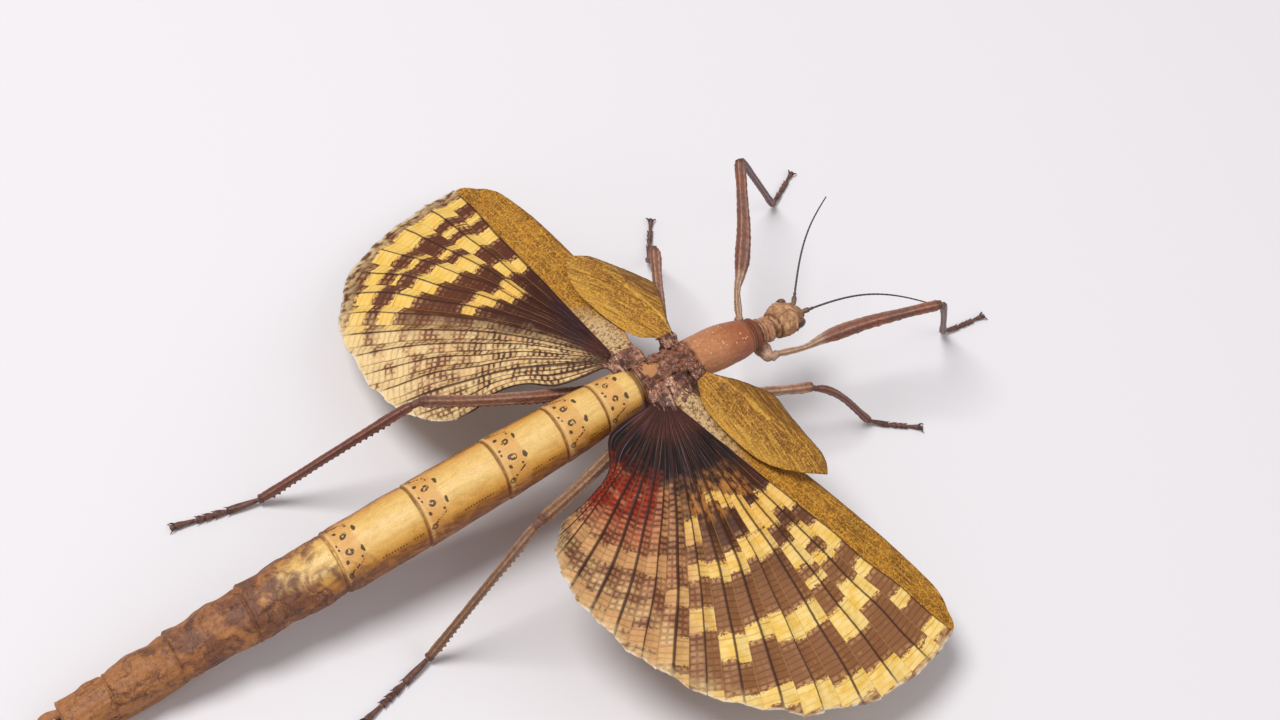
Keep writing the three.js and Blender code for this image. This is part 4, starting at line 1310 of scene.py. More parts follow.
# A node group with named inputs: a place where the given value is None, else a number or a colour of
# that value. make(given) turns them into its outputs by name.
def skinEffect(name, make, **inputs):
    tree = bpy.data.node_groups.new(name, "ShaderNodeTree")
    for label, value in inputs.items():
        kind = {type(None): "Vector", tuple: "Color"}.get(type(value), "Float")
        socket = tree.interface.new_socket(label, in_out="INPUT", socket_type=f"NodeSocket{kind}")
        if value is not None:
            socket.default_value = value
    made = make(record(tree.nodes.new("NodeGroupInput").outputs))
    finish = tree.nodes.new("NodeGroupOutput")
    for label, value in made.items():
        kind = "Color" if value.socket.type == "RGBA" else "Float"
        tree.interface.new_socket(label, in_out="OUTPUT", socket_type=f"NodeSocket{kind}")
        plug(value, finish.inputs[label])
    return tree


# A node group placed in a material, with its outputs as a record.
def use(effect, **values):
    tree = next(iter(values.values())).tree
    return record(newNode(tree, "Group", values, node_tree=effect).outputs)


# A material from make(tree), which gives its colour, roughness and normal.
def skin(name, make, **constants):
    material = bpy.data.materials.new(name)
    material.use_nodes = True
    tree = material.node_tree
    made = zip(("Base Color", "Roughness", "Normal"), make(tree))
    for label, value in (*made, *constants.items()):
        plug(value, tree.nodes["Principled BSDF"].inputs[label])
    return material


# Fine leathery grain at two sizes: a height, and a shade that is dark in its pits.
def grainEffect(given):
    spot = given.place
    fine, broad = noise(spot, 0.28, 2, 0.6), noise(spot, 1.1, 4, 0.6)
    lines = cells(spot, 0.5).ease(0, 0.2)
    height = fine * 0.5 + broad * 0.4 + lines * 0.16
    return {"Height": height, "Shade": (height - 0.25).ease(0, 0.75)}


# Cloudy patches and small specks, each a mask from 0 to 1.
def mottleEffect(given):
    spot = given.place
    cloud, dapple = noise(spot, 2.6, 5, 0.62, 0.6), noise(spot, 0.9, 3, 0.6, 0.3)
    dots = cells(spot, 0.85, edges=False)
    speck = dots.ease(0.24, 0.1) * noise(spot, 3.1, 1).ease(0.5, 0.62)
    return {"Cloud": cloud.ease(0.38, 0.66), "Dapple": dapple.ease(0.42, 0.62), "Speck": speck}


# Crumpled soft skin: thin dark creases and thin pale ridges that wander over it, and their height. Laid on
# as colour on the thorax and the wing hinges, the creases are painted shade and the ridges a painted
# highlight.
def crumpleEffect(given):
    spot = given.place
    bent = shake(spot, 2.6, 3, 0.55, 0.6).size()
    fine = (noise(spot, 1.1, 2, 0.5, 0.4) - 0.47).size()
    crease = bent.ease(0.035, 0.004).most(fine.ease(0.025, 0.002) * 0.7)
    ridge = (noise(spot, 1.5, 2, 0.5, 0.7) - 0.53).size().ease(0.028, 0.006)
    return {"Crease": crease, "Ridge": ridge * crease.flip(), "Height": bent * 2.5 + fine + ridge * 0.2}


crumpled = skinEffect("crumpledSkin", crumpleEffect, Place=None)
grain = skinEffect("skinGrain", grainEffect, Place=None)
mottle = skinEffect("skinMottle", mottleEffect, Place=None)

# The panel's lightest middle colour is partly a painted highlight along the top of the back; fold and crease
# also serve as painted shade in grooves, ring joints, creases and hollows, and ridge as a painted highlight
# on the crumpled skin's ridges.
bodyPaint = paints({
    "panelMiddleAndHighlight": (255, 212, 126), "panel": (240, 180, 84), "panelEdge": (198, 128, 34),
    "hindBand": (232, 166, 86), "rim": (248, 200, 126), "flank": (184, 112, 44), "fold": (104, 54, 20),
    "tail": (170, 110, 64), "tailDark": (100, 56, 44), "tailGrey": (128, 92, 76), "mark": (40, 20, 8),
    "front": (224, 168, 122), "middle": (176, 100, 64), "middleLight": (212, 142, 94),
    "middleDark": (100, 46, 28), "hind": (164, 102, 74), "hindPlate": (218, 150, 92),
    "crease": (52, 24, 16), "ridge": (230, 186, 156), "granule": (236, 190, 148),
})


# What the body's colours follow: the skin's values, the place and the patterns there. The streaks are
# noise drawn out along the body.
def bodyFields(tree):
    at = surface(tree, "ringShare", "ringNumber", "fromHind", "sideways", "upness", "hollow", "granule")
    at.spot = place(tree)
    at.fine, at.patch, at.folds = (use(effect, Place=at.spot) for effect in (grain, mottle, crumpled))
    at.streak = noise(stretched(at.spot, (0.22, 1, 1)), 0.8, 4, 0.65)
    return at


# Ink marks on an abdomen ring, by distance from its hind edge and sideways, a little shaken so that no
# two rings match: a hollow spot, a comma, a dot, a broken slanting dash, a curl and a dotted line.
def ringMarks(at):
    spot = at.spot
    u = at.fromHind + shake(spot, 3.3, 1) * 1.5 + shake(spot, 0.5, 1) * 0.25
    v = at.sideways + shake(together(at.fromHind, at.sideways, 4), 4.1, 1) * 1.2

    def oval(alongPlace, sidePlace, alongReach, sideReach):
        return (((u - alongPlace) / alongReach).power(2) + ((v - sidePlace) / sideReach).power(2)).root()

    hollow = oval(2.6, 1.6, 0.66, 0.52).near(0.78, 0.36, 0.12) * noise(spot, 0.5, 1).ease(0.34, 0.42)
    comma = oval(5.1, 1.9, 0.36, 0.68).ease(1.15, 0.85)
    dot = oval(1.3, 3.1, 0.36, 0.4).ease(1.15, 0.85)
    curl = oval(1, 5.8, 0.52, 0.5).near(0.78, 0.32, 0.12)
    run = (u - 1.2) / 2.8
    dash = (v - 5.6 + run * 1.5).near(0, 0.19, 0.1) * run.near(0.5, 0.5, 0.08)
    dash = dash * noise(spot, 0.4, 1).ease(0.42, 0.5)
    beads = ((at.fromHind / 0.62).rest() - 0.5).size().ease(0.34, 0.2)
    line = (at.sideways - 5.9).near(0, 0.14, 0.08) * at.ringShare.near(0.33, 0.26, 0.03) * beads
    line = line * noise(spot, 2.2, 1).ease(0.36, 0.46)
    small = oval(3.9, 3.3, 0.26, 0.34).least(oval(0.9, 0.5, 0.24, 0.28)).ease(1.1, 0.8)
    return hollow.most(small).most(comma).most(dot).most(curl * 0.8).most(dash).most(line * 0.9)


# An abdomen ring: a pale panel that darkens to the flanks, its lightest middle partly a painted
# highlight, a warm band and a pale rim at the hind edge, stains, dark streaks on the flanks, and painted
# shade in the ring joint and where the skin lies deepest. Gives the colour and the band.
def ringColours(at):
    share, sideways, fromHind = at.ringShare, at.sideways, at.fromHind
    # the lightest middle of the panel is partly a painted highlight along the top of the back
    panel = shades(sideways, bodyPaint, [(0, "panelMiddleAndHighlight"), (2.4, "panelMiddleAndHighlight"), (4.8, "panel"),
                                         (6.6, "panelEdge"), (8.2, "flank"), (12, "flank")])
    bandEdge = fromHind + shake(at.spot, 2, 2) * 1.0
    band = bandEdge.ease(5.2, 4.4) * sideways.ease(8.6, 7.4)
    # how strong the painted shadow in each ring joint is, varied by noise
    jointShadowStrength = noise(at.spot, 2.6, 2).ease(0.3, 0.62) * 0.55 + 0.2
    stains = noise(at.spot, 3.6, 3, 0.65).ease(0.5, 0.64)
    firstRim = at.ringNumber.near(3, 0.4, 0.1)
    firstRim = firstRim * share.near(0.05, 0.012, 0.01).most(share.near(0.1, 0.006, 0.008))
    ring = coats(
        bodyPaint, panel,
        (at.streak.ease(0.42, 0.68) * 0.22, "panelEdge"),
        (band * 0.6, "hindBand"),
        # painted shadow in the groove where each ring starts
        (share.ease(0.028, 0.006) * jointShadowStrength, "fold"),
        (stains * sideways.ease(0.5, 5.5) * 0.45, "panelEdge"),
        (fromHind.near(0.5, 0.2, 0.25) * sideways.ease(9, 7) * 0.9, "rim"),
        (firstRim * 0.8, "rim"),
        (at.patch.cloud * sideways.ease(4.5, 7.5) * 0.55, "fold"),
        (at.streak.ease(0.47, 0.58) * sideways.ease(5.8, 7.2) * 0.6, "fold"),
        # painted shade where the skin lies deepest: the side fold and the ring joints
        (at.hollow.ease(-0.12, -0.34) * 0.8, "fold"),
    )
    return ring, band


# The last rings: dull brown bark with grey scabs and dark cracks. Gives the colour, and how far it
# takes over along the body, from 0 to 1.
def tailColours(at):
    scab = noise(at.spot, 5.5, 4, 0.7, 0.8)
    late = at.ringNumber + at.ringShare * 0.9 + (at.patch.cloud - 0.5) * 0.4 + (scab - 0.5) * 1.3
    late = (late + at.sideways * 0.1).ease(8.05, 8.9)
    gloom = scab + (at.ringNumber - 8.4).size() * -0.09
    tail = coats(
        bodyPaint, "tail",
        (gloom.ease(0.3, 0.56) * 0.7, "tailDark"),
        (at.patch.cloud * gloom.ease(0.36, 0.5) * 0.4, "tailGrey"),
        (at.streak.ease(0.5, 0.66) * 0.25, "fold"),
        (at.folds.crease * scab.ease(0.42, 0.56) * 0.7, "mark"),
        (at.patch.dapple * gloom.ease(0.5, 0.4) * 0.22, "hindBand"),
    )
    return tail, late


# The thorax: a front ring with dark joints, a smooth middle one with a creased collar and pale grains,
# and a hind one of crumpled skin round a smooth oval plate. The crumpled skin's dark creases are
# painted shade and its pale ridges a painted highlight, and painted shade darkens the deepest hollows.
def thoraxColours(at):
    share, number, patch, folds = at.ringShare, at.ringNumber, at.patch, at.folds
    wavy = share + shake(at.spot, 1.3, 3) * 0.2
    joints = wavy.ease(0.1, 0.02).most(wavy.near(0.82, 0.04, 0.06)).most(wavy.near(0.5, 0.015, 0.03))
    front = coats(
        bodyPaint, "front",
        (patch.cloud * 0.5, "middle"),
        (patch.dapple * 0.4, "middleDark"),
        # painted shade in the crumpled skin's creases
        (folds.crease * patch.cloud.ease(0.35, 0.6) * 0.75, "crease"),
        # dark joints, and painted shade where the skin lies deep
        (joints.most(at.hollow.ease(-0.1, -0.3)) * 0.65, "crease"),
    )
    bowed = share + at.upness * 0.012
    collar = bowed.near(0.095, 0.006, 0.008).most(bowed.near(0.135, 0.005, 0.008))
    collar = collar.most(bowed.near(0.175, 0.003, 0.008) * 0.8)
    middle = coats(
        bodyPaint, "middle",
        ((share + (at.streak - 0.5) * 0.5).ease(0.25, 0.75), "middleLight"),
        (share.ease(0.2, 0.03) * 0.7, "middleDark"),
        (collar * 0.85, "crease"),
        (patch.dapple * 0.18, "middleDark"),
        (at.granule, "granule"),
    )
    oval = (((share - 0.79) / 0.15).power(2) + at.upness.flip() / 0.085).root()
    oval = oval + (patch.cloud - 0.5) * 0.5 + shake(at.spot, 1.1, 2) * 1.3
    rough = coats(
        bodyPaint, "hind",
        (patch.cloud * 0.4, "middleDark"),
        # painted highlight on the crumpled skin's ridges
        (folds.ridge * 0.8, "ridge"),
        (noise(at.spot, 1.7, 2).ease(0.44, 0.36) * 0.75, "crease"),
        # painted shade in the crumpled skin's creases
        (folds.crease * 0.9, "crease"),
        (oval.near(1.15, 0.06, 0.12) * 0.6, "crease"),
    )
    hind = coats(bodyPaint, rough, (oval.ease(1.05, 0.8) * 0.85, "hindPlate"))
    middle = blend((share + (folds.ridge - 0.5) * 0.05).ease(0.92, 0.98), middle, rough)
    return coats(
        bodyPaint, front,
        (number.ease(0.4, 0.6), middle),
        (number.ease(1.4, 1.6), hind),
        # painted shade where the thorax's skin lies deepest
        (at.hollow.ease(-0.16, -0.6) * 0.75, "crease"),
    )


# The whole trunk: thorax, rings and tail by their ring numbers, the ink marks and specks over them, and
# grain over all. The middle of the abdomen is the smoothest.
def bodyColours(tree):
    at = bodyFields(tree)
    number, fine = at.ringNumber, at.fine
    (ring, band), (tail, late) = ringColours(at), tailColours(at)
    specks = at.patch.speck * at.sideways.ease(3, 6) * 0.8
    marks = (ringMarks(at) * number.ease(7.9, 7.5)).most(specks)
    ring = coats(bodyPaint, ring, (late, tail), (marks * 0.92, "mark"))
    onAbdomen = number.ease(2.4, 2.6)
    colour = coats(bodyPaint, thoraxColours(at), (onAbdomen, ring), (fine.shade.flip() * 0.3, "fold"))
    satin = onAbdomen * band.flip() * late.flip()
    sheen = satin * -0.08 + late * 0.12 + 0.5 + fine.shade * -0.06
    wrinkled = number.ease(2.6, 2.4) * (number + at.ringShare * 0.5).ease(1.44, 1.5)
    height = fine.height * 0.6 + at.streak * 0.5 + at.folds.height * wrinkled * 2.6
    return colour, sheen, bump(height, 0.09)


bodySkin = skin("bodySkin", bodyColours, **{"Specular IOR Level": 0.5})

headPaint = paints({
    "base": (226, 172, 118), "patch": (164, 106, 66), "light": (244, 200, 150), "dark": (98, 54, 34),
    "mouth": (156, 104, 68),
})


# The head: clouded skin with a fine middle line, a dark ring round each eye and a dark groove behind the
# cheeks, then blotches, specks and grain over the head and the mouth.
def headColours(tree):
    spot = place(tree)
    at = surface(tree, "headShare", "headTurn", "eyeAway", "limbKind")
    share = at.headShare
    fine, patch = use(grain, Place=spot), use(mottle, Place=spot)
    line = at.headTurn.ease(3.2, 1.4) * share.ease(0.12, 0.2) * share.ease(0.72, 0.6)
    blotch = noise(spot, 1.8, 4, 0.65, 0.8)
    colour = coats(
        headPaint, "base",
        (patch.cloud * 0.6, "patch"),
        (share.ease(0.5, 0.95) * 0.55, "patch"),
        (line * 0.6, "dark"),
        (at.eyeAway.near(1.1, 0.12, 0.2) * 0.6, "dark"),
        (share.near(0.105, 0.012, 0.02) * 0.7, "dark"),
        (at.limbKind.ease(4, 4.9), "mouth"),
        (blotch.ease(0.5, 0.62) * 0.7, "patch"),
        (blotch.ease(0.47, 0.36) * 0.6, "light"),
        (blotch.near(0.5, 0.006, 0.02) * 0.5, "dark"),
        (patch.dapple * 0.35, "dark"),
        (patch.speck * 0.8, "dark"),
        (fine.shade.flip() * 0.35, "dark"),
    )
    return colour, fine.shade * -0.1 + 0.58, bump(fine.height, 0.12)


headSkin = skin("headSkin", headColours)

eyePaint = paints({
    "rim": (124, 84, 58), "side": (82, 48, 34), "middle": (40, 22, 18),
})


# A compound eye: a fine mesh of facets, darker in its middle.
def eyeColours(tree):
    facets = cells(place(tree), 0.09, loose=0.35)
    out = surface(tree, "eyeOut").eyeOut.size()
    colour = shades(out, eyePaint, [(0, "rim"), (0.45, "side"), (1, "middle")])
    return colour, facets.ease(0, 0.1) * -0.15 + 0.32, bump(facets.ease(0, 0.2), 0.012)


eyeGloss = skin("eyeGloss", eyeColours, **{"Coat Weight": 0.35, "Coat Roughness": 0.2})

feelerPaint = paints({
    "root": (150, 112, 76), "second": (104, 84, 70), "third": (74, 68, 70), "tip": (58, 54, 60),
    "dark": (34, 30, 32),
})


# A feeler: brown at its root, then grey, with darker patches.
def feelerColours(tree):
    spot = place(tree)
    along = surface(tree, "alongLimb").alongLimb
    colour = shades(along, feelerPaint, [(0, "root"), (0.06, "second"), (0.12, "third"), (1, "tip")])
    colour = coats(feelerPaint, colour, (noise(spot, 0.5).ease(0.4, 0.7) * 0.5, "dark"))
    return colour, 0.5, bump(noise(spot, 0.15), 0.02)


feelerSkin = skin("feelerSkin", feelerColours)

# edge is, on the legs, a painted highlight along the keels' crests, and on the feet the pale start of each
# joint
legPaint = paints({
    "red": (182, 112, 84), "grey": (160, 112, 92), "shin": (136, 78, 66), "shinFore": (140, 118, 124),
    "golden": (172, 124, 70), "dark": (84, 46, 36), "edge": (222, 166, 136), "pale": (230, 190, 160),
    "paleShade": (158, 116, 82), "foot": (112, 72, 60), "footDark": (58, 34, 30), "claw": (38, 20, 16),
})


# A leg: red and grey clouds, browner shins, a golden right hind leg, keels with pale crests, a painted
# highlight, and dark furrows, a pale stretch next to the body, dark knees, specks and grain.
def legColours(tree):
    spot = place(tree)
    at = surface(tree, "alongLimb", "limbKind", "keel", "pale")
    kind, keel = at.limbKind, at.keel
    fine, patch = use(grain, Place=spot), use(mottle, Place=spot)
    golden = kind.ease(1.15, 1.25) * kind.ease(1.45, 1.4) + kind.ease(2.5, 2.7) * kind.ease(3.1, 3)
    light = coats(
        legPaint, "pale",
        (patch.dapple * 0.55, "paleShade"),
        (keel.ease(0.45, 0.05) * 0.75 * kind.ease(0.2, 0.8), "paleShade"),
    )
    knees = at.alongLimb.ease(0.955, 0.985).most(at.alongLimb.ease(0.02, 0.005)) * kind.ease(0.5, 0.9)
    colour = coats(
        legPaint, "red",
        (noise(spot, 4.5, 3, 0.6).ease(0.38, 0.62), "grey"),
        (kind.ease(1.4, 1.6) * 0.75, "shin"),
        (kind.ease(2.1, 2.3) * 0.8, "shinFore"),
        (golden * 0.8, "golden"),
        (keel.ease(0.3, 0.02) * 0.45, "dark"),
        # pale crests of the keels, a painted highlight
        (keel.ease(0.6, 1) * 0.7, "edge"),
        (patch.dapple * 0.4, "dark"),
        ((at.pale + (patch.cloud - 0.5) * 0.4 * at.pale).ease(0.05, 0.85), light),
        (knees * 0.65, "dark"),
        (patch.speck * 0.85, "footDark"),
        (fine.shade.flip() * 0.4, "footDark"),
    )
    return colour, fine.shade * -0.12 + 0.6, bump(fine.height, 0.14)


legSkin = skin("legSkin", legColours)


# A foot: dappled brown, paler where each joint starts, with black-brown claws and spurs.
def footColours(tree):
    spot = place(tree)
    at = surface(tree, "limbKind", "alongLimb")
    fine, patch = use(grain, Place=spot), use(mottle, Place=spot)
    colour = coats(
        legPaint, "foot",
        (patch.dapple * 0.7, "footDark"),
        (at.alongLimb.ease(0.15, 0) * 0.6, "edge"),
        (at.limbKind.ease(3.4, 3.6), "claw"),
    )
    return colour, fine.shade * -0.2 + 0.55, bump(fine.height, 0.08)


footSkin = skin("footSkin", footColours)

wingPaint = paints({
    "yellow": (238, 192, 84), "yellowPale": (250, 216, 136), "ochre": (226, 164, 66),
    "amber": (196, 128, 58), "brown": (142, 94, 58), "brownLeft": (98, 52, 30),
    "brownDark": (66, 30, 18), "vein": (62, 34, 24), "veinPale": (186, 146, 92), "plaid": (104, 58, 40),
    "plaidLeft": (124, 72, 46), "black": (22, 12, 14), "blackLeft": (52, 26, 28), "root": (96, 48, 42),
    "lilac": (150, 128, 144), "rim": (232, 222, 206), "red": (158, 44, 20), "orange": (196, 108, 74),
    "tan": (214, 160, 104), "tanPink": (188, 116, 80), "cream": (240, 208, 150),
    "leather": (188, 126, 36), "leatherDark": (108, 62, 16), "leatherLight": (232, 178, 72),
    "hinge": (220, 190, 146), "olive": (146, 100, 22), "edge": (84, 62, 30),
})


# Short veins that cross between the long ones, about 1.2 mm apart, each column's at its own heights, a
# plaid of finer lines, and a random shade for each brick between them.
def crossVeinEffect(given):
    vein, reach, seed = given.vein, given.reach, given.seed
    column = (vein * 2).whole()
    stagger = chance(together(column, 3, seed))
    shaken = reach + shake(together(vein * 2.5, reach), 1.6, 2) * 1.0
    row = shaken / 1.22 + stagger * 7
    fromRow = (row.rest() - 0.5).size()
    sway = shake(together(vein * 3, reach * 0.3), 1.5, 2)
    thin = ((vein * 4 + sway * 0.35).rest() - 0.5).size().ease(0.2, 0.42)
    wide = ((vein * 2).rest() - 0.5).size().ease(0.28, 0.44)
    upright = wide.most(thin * reach.ease(26, 36))
    return {"Line": fromRow.ease(0.33, 0.48), "Plaid": fromRow.ease(0.14, 0.38).most(upright),
            "Brick": chance(together(column, row.whole(), seed))}


crossVeins = skinEffect("crossVeins", crossVeinEffect, Vein=0, Reach=0, Seed=1)


# Leathery wing skin: a fine net of veins, paler cells, brown clouds and specks.
def leatherEffect(given):
    spot = given.place
    net, coarse = cells(spot, 0.62), cells(spot, 1.7)
    cloud, dapple = noise(spot, 3.4, 4, 0.62, 0.5), noise(spot, 0.5, 3, 0.75)
    colour = coats(
        wingPaint, "leather",
        (cloud.ease(0.4, 0.66) * 0.7, given.cloud),
        (net.ease(0.02, 0.16).flip() * 0.5, "leatherDark"),
        (coarse.ease(0, 0.06).flip() * 0.55, "leatherLight"),
        (dapple.ease(0.52, 0.64) * 0.8, "leatherDark"),
        (dapple.ease(0.46, 0.32) * 0.85, "leatherLight"),
    )
    return {"Colour": colour, "Height": net.ease(0, 0.2) * 0.6 + dapple * 0.6}


leather = skinEffect("wingLeather", leatherEffect, Place=None, Cloud=wingPaint["leatherDark"])

# What differs between the two hind wings.
fanStyles = {
    "right": {
        "seed": 3,
        "paleness": 1,
        "faded": 0.4,  # how pale the fan turns toward its outer edge
        "brown": "brown",
        "windows": ("tan", "tanPink"),
        "plaidFrom": (6, 8.4),  # veins between which the plaid takes over
        "shade": 0.75,  # how far the plaid's windows darken in its brown patches
        "lines": 0.4,  # how much its lines fade outside them
        "plaidPaint": "plaid",
        "halfVein": 0.25,  # how dark the veins between the main ones turn there
        "glow": 1,  # red and orange next to the body
        "dusk": 0.8,  # amber clouds past the dark root
        "rootTo": 17.5,  # where the dark root ends, in millimetres from the apex
        "rootSlope": 0,  # and how much shorter it is at each vein
        "rootPaint": "black",
    },
    "left": {
        "seed": 8,
        "paleness": 0.5,
        "faded": 0.65,
        "brown": "brownLeft",
        "windows": ("cream", "tan"),
        "plaidFrom": (5.4, 7.8),
        "shade": 0.25,
        "lines": 0.8,
        "plaidPaint": "plaidLeft",
        "halfVein": 0.8,
        "glow": 0,
        "dusk": 0,
        "rootTo": 26,
        "rootSlope": 2.6,
        "rootPaint": "blackLeft",
    },
}


# What a hind wing's colours follow: places along and across its veins, the cross veins, clouds, the
# ragged pale bands, and how far the plaid and the dark root have taken over.
def fanFields(tree, style):
    at = surface(tree, "veinPlace", "reach", "margin", "ringIn", "stripPlace")
    vein, reach = at.veinPlace, at.reach
    at.spot = place(tree)
    at.cross = use(crossVeins, Vein=vein, Reach=reach, Seed=style["seed"])
    at.fanPlace, at.streakPlace = together(vein * 5, reach * 1.1), together(vein * 9, reach * 0.04)
    at.cloud = noise(at.spot, 2.4, 3)
    at.bandEdge = at.ringIn.near(0, 0.5, 1.3)
    brick = at.cross.brick - 0.5
    teeth = shake(at.fanPlace, 0.6, 3, 0.75) * 3.0
    stain = shake(at.fanPlace, 3.2, 2) * 1.8
    at.yellow = (at.ringIn + teeth + stain + brick * 0.7).ease(-0.08, 0.14)
    at.plaid = (vein + shake(at.spot, 5, 3) * 3).ease(*style["plaidFrom"])
    shaken = brick * 2.5 + shake(at.spot, 2.5) * 8
    rootTo = style["rootTo"]
    at.root = (reach + shaken + vein * style["rootSlope"]).ease(rootTo + 5, rootTo - 3)
    return at


# Pale bands, ochre toward the root, on brown with a few windows, amber clouds and a darker root.
def bandColours(at, style):
    vein, reach, line = at.veinPlace, at.reach, at.cross.line
    light = coats(
        wingPaint, "yellow",
        (at.cloud.ease(0.3, 0.65) * style["paleness"], "yellowPale"),
        (reach.ease(46, 24) * 0.45, "ochre"),
        (line * (at.bandEdge * 0.35 + 0.12), "brown"),
    )
    fade = (reach + shake(at.spot, 5, 2) * 14 + vein * 1.2).ease(52, 28)
    window = at.cross.plaid.flip() * (at.bandEdge * 0.5 + at.cloud.ease(0.5, 0.72) * 0.25)
    dusk = reach.near(21.5, 2.5, 4.5) * vein.near(4.2, 2, 1.6) * noise(at.fanPlace, 2.5, 3).ease(0.4, 0.6)
    dark = coats(
        wingPaint, style["brown"],
        (fade, "brownDark"),
        (line * 0.35, "brownDark"),
        (window * reach.ease(24, 34), "tan"),
        (dusk * style["dusk"], "amber"),
    )
    return blend(at.yellow, dark, light)


# The plaid next to the body: small windows between dark lines, cream at the margin, browner in patches,
# orange and red toward the root.
def plaidColours(at, style):
    vein, reach, brick = at.veinPlace, at.reach, at.cross.brick
    firstPane, secondPane = style["windows"]
    patchy = (noise(at.fanPlace, 4, 3) + (brick - 0.5) * 0.12).ease(0.36, 0.62)
    glow = (reach + (at.cloud - 0.5) * 10).ease(38, 26) * vein.ease(8.2, 10.4) * style["glow"]
    redness = noise(at.spot, 3, 3).ease(0.32, 0.56) * (reach + vein * -0.8).ease(22, 14)
    windows = coats(
        wingPaint, firstPane,
        (brick * 0.75, secondPane),
        (at.margin.ease(16, 3) * 0.6, "cream"),
        (patchy * style["shade"], "brown"),
        (glow, "orange"),
        ((glow * redness).ease(0.05, 0.6), "red"),
    )
    lines = at.cross.plaid * (patchy * style["lines"] + (1 - style["lines"]) * 0.75)
    linePaint = coats(wingPaint, "brownDark", (reach.ease(26, 44), style["plaidPaint"]))
    calm = coats(wingPaint, firstPane, (at.cross.line * 0.4, "brown"))
    return coats(wingPaint, windows, (lines, linePaint), (at.yellow * 0.8, calm))


# The dark root: pale streaks along the veins, and a brown blush where the fan leaves the body.
def rootColours(at, style):
    streaks = noise(at.streakPlace, 1, 3, 0.75).ease(0.54, 0.7)
    blush = (at.reach + (streaks - 0.5) * 4 + (at.cloud - 0.5) * 3).ease(9.5, 4.5)
    return coats(
        wingPaint, style["rootPaint"],
        (streaks * at.reach.ease(2, 9) * 0.55, "lilac"),
        (blush * 0.85, coats(wingPaint, "root", (streaks, "lilac"))),
    )


# Masks of the main veins and of the finer ones half-way between. A vein keeps its width in millimetres:
# its reach times the share of the gap between two veins that it covers is 8.4 for each millimetre.
# Each main vein gets a width of its own; their dark lines are partly the real veins and partly painted
# shadow of the pleats.
def longVeins(at, style):
    vein, reach, perMillimetre = at.veinPlace, at.reach, 8.4
    away = (vein + 0.5).rest() - 0.5
    stout = chance(together((vein + 0.5).whole(), 7, style["seed"])) * -0.9 + 1.4
    mainVein = (away.size() * reach * stout).ease(0.3 * perMillimetre, 0.08 * perMillimetre)
    halfVein = ((vein.rest() - 0.5).size() * reach).ease(0.13 * perMillimetre, 0.04 * perMillimetre)
    return mainVein, halfVein


# The leathery strip ahead of the fan: long pale veins, and a pale blotched net toward the root.
def stripColours(at, shell):
    strip, reach, spot = at.stripPlace, at.reach, at.spot
    lines = noise(together(strip * 1.6, reach * 0.05), 0.4, 2).ease(0.5, 0.62)
    rootPale = (reach + strip * 1.5 + shake(spot, 3) * 9).ease(25, 14)
    paleNet = coats(
        wingPaint, "hinge",
        (noise(spot, 0.7, 3, 0.7).ease(0.48, 0.6) * 0.8, "brownDark"),
        (cells(spot, 0.8).ease(0.12, 0) * 0.4, "leather"),
    )
    return coats(
        wingPaint, shell.colour,
        (lines * 0.35, "leatherLight"),
        (rootPale * 0.85 * strip.ease(6.4, 3.6), paleNet),
        (strip.ease(7.4, 8.2) * 0.5, "leatherDark"),
    )


# A hind wing: bands, plaid and dark root laid over one another, pale wisps, long veins whose dark main
# lines are partly painted pleat shadow, a faded and frayed margin, and the leathery strip.
def fanColours(tree, style):
    at = fanFields(tree, style)
    plaid, margin = at.plaid, at.margin
    mainVein, halfVein = longVeins(at, style)
    wisps = noise(at.streakPlace, 0.7, 2).ease(0.6, 0.7) * at.reach.ease(32, 14) * 0.5
    ragged = margin + shake(together(at.veinPlace * 5, at.reach), 1) * 1.6
    frayed = noise(at.fanPlace, 1.6, 2).ease(0.36, 0.58)
    fan = coats(
        wingPaint, bandColours(at, style),
        (plaid, plaidColours(at, style)),
        (at.root, rootColours(at, style)),
        (wisps, "tan"),
        (halfVein * at.root.flip() * (plaid * 0.3).flip() * 0.4, "veinPale"),
        (halfVein * plaid * style["halfVein"], "vein"),
        # the main veins, partly painted shadow of the pleats
        (mainVein * 0.9, "vein"),
        (margin.ease(4.2, 0.4) * frayed * style["faded"], "cream"),
        (ragged.ease(0.7, 0.1) * (frayed * 0.6 + 0.15), "rim"),
    )
    shell = use(leather, Place=at.spot, Cloud=wingPaint["leatherDark"])
    onStrip = at.stripPlace.ease(0.02, 0.3)
    colour = blend(onStrip, fan, stripColours(at, shell))
    fanHeight = mainVein * 0.5 + halfVein * 0.3 + at.cross.line * 0.3
    height = fanHeight * onStrip.flip() + shell.height * onStrip
    rough = at.root * 0.14 * onStrip.flip() + 0.55
    return colour, rough, bump(height, 0.09)


matt = {"Specular IOR Level": 0.22}
fanSkins = {word: skin(f"hindWingSkin_{word}", lambda tree: fanColours(tree, fanStyles[word]), **matt)
            for word in sides}


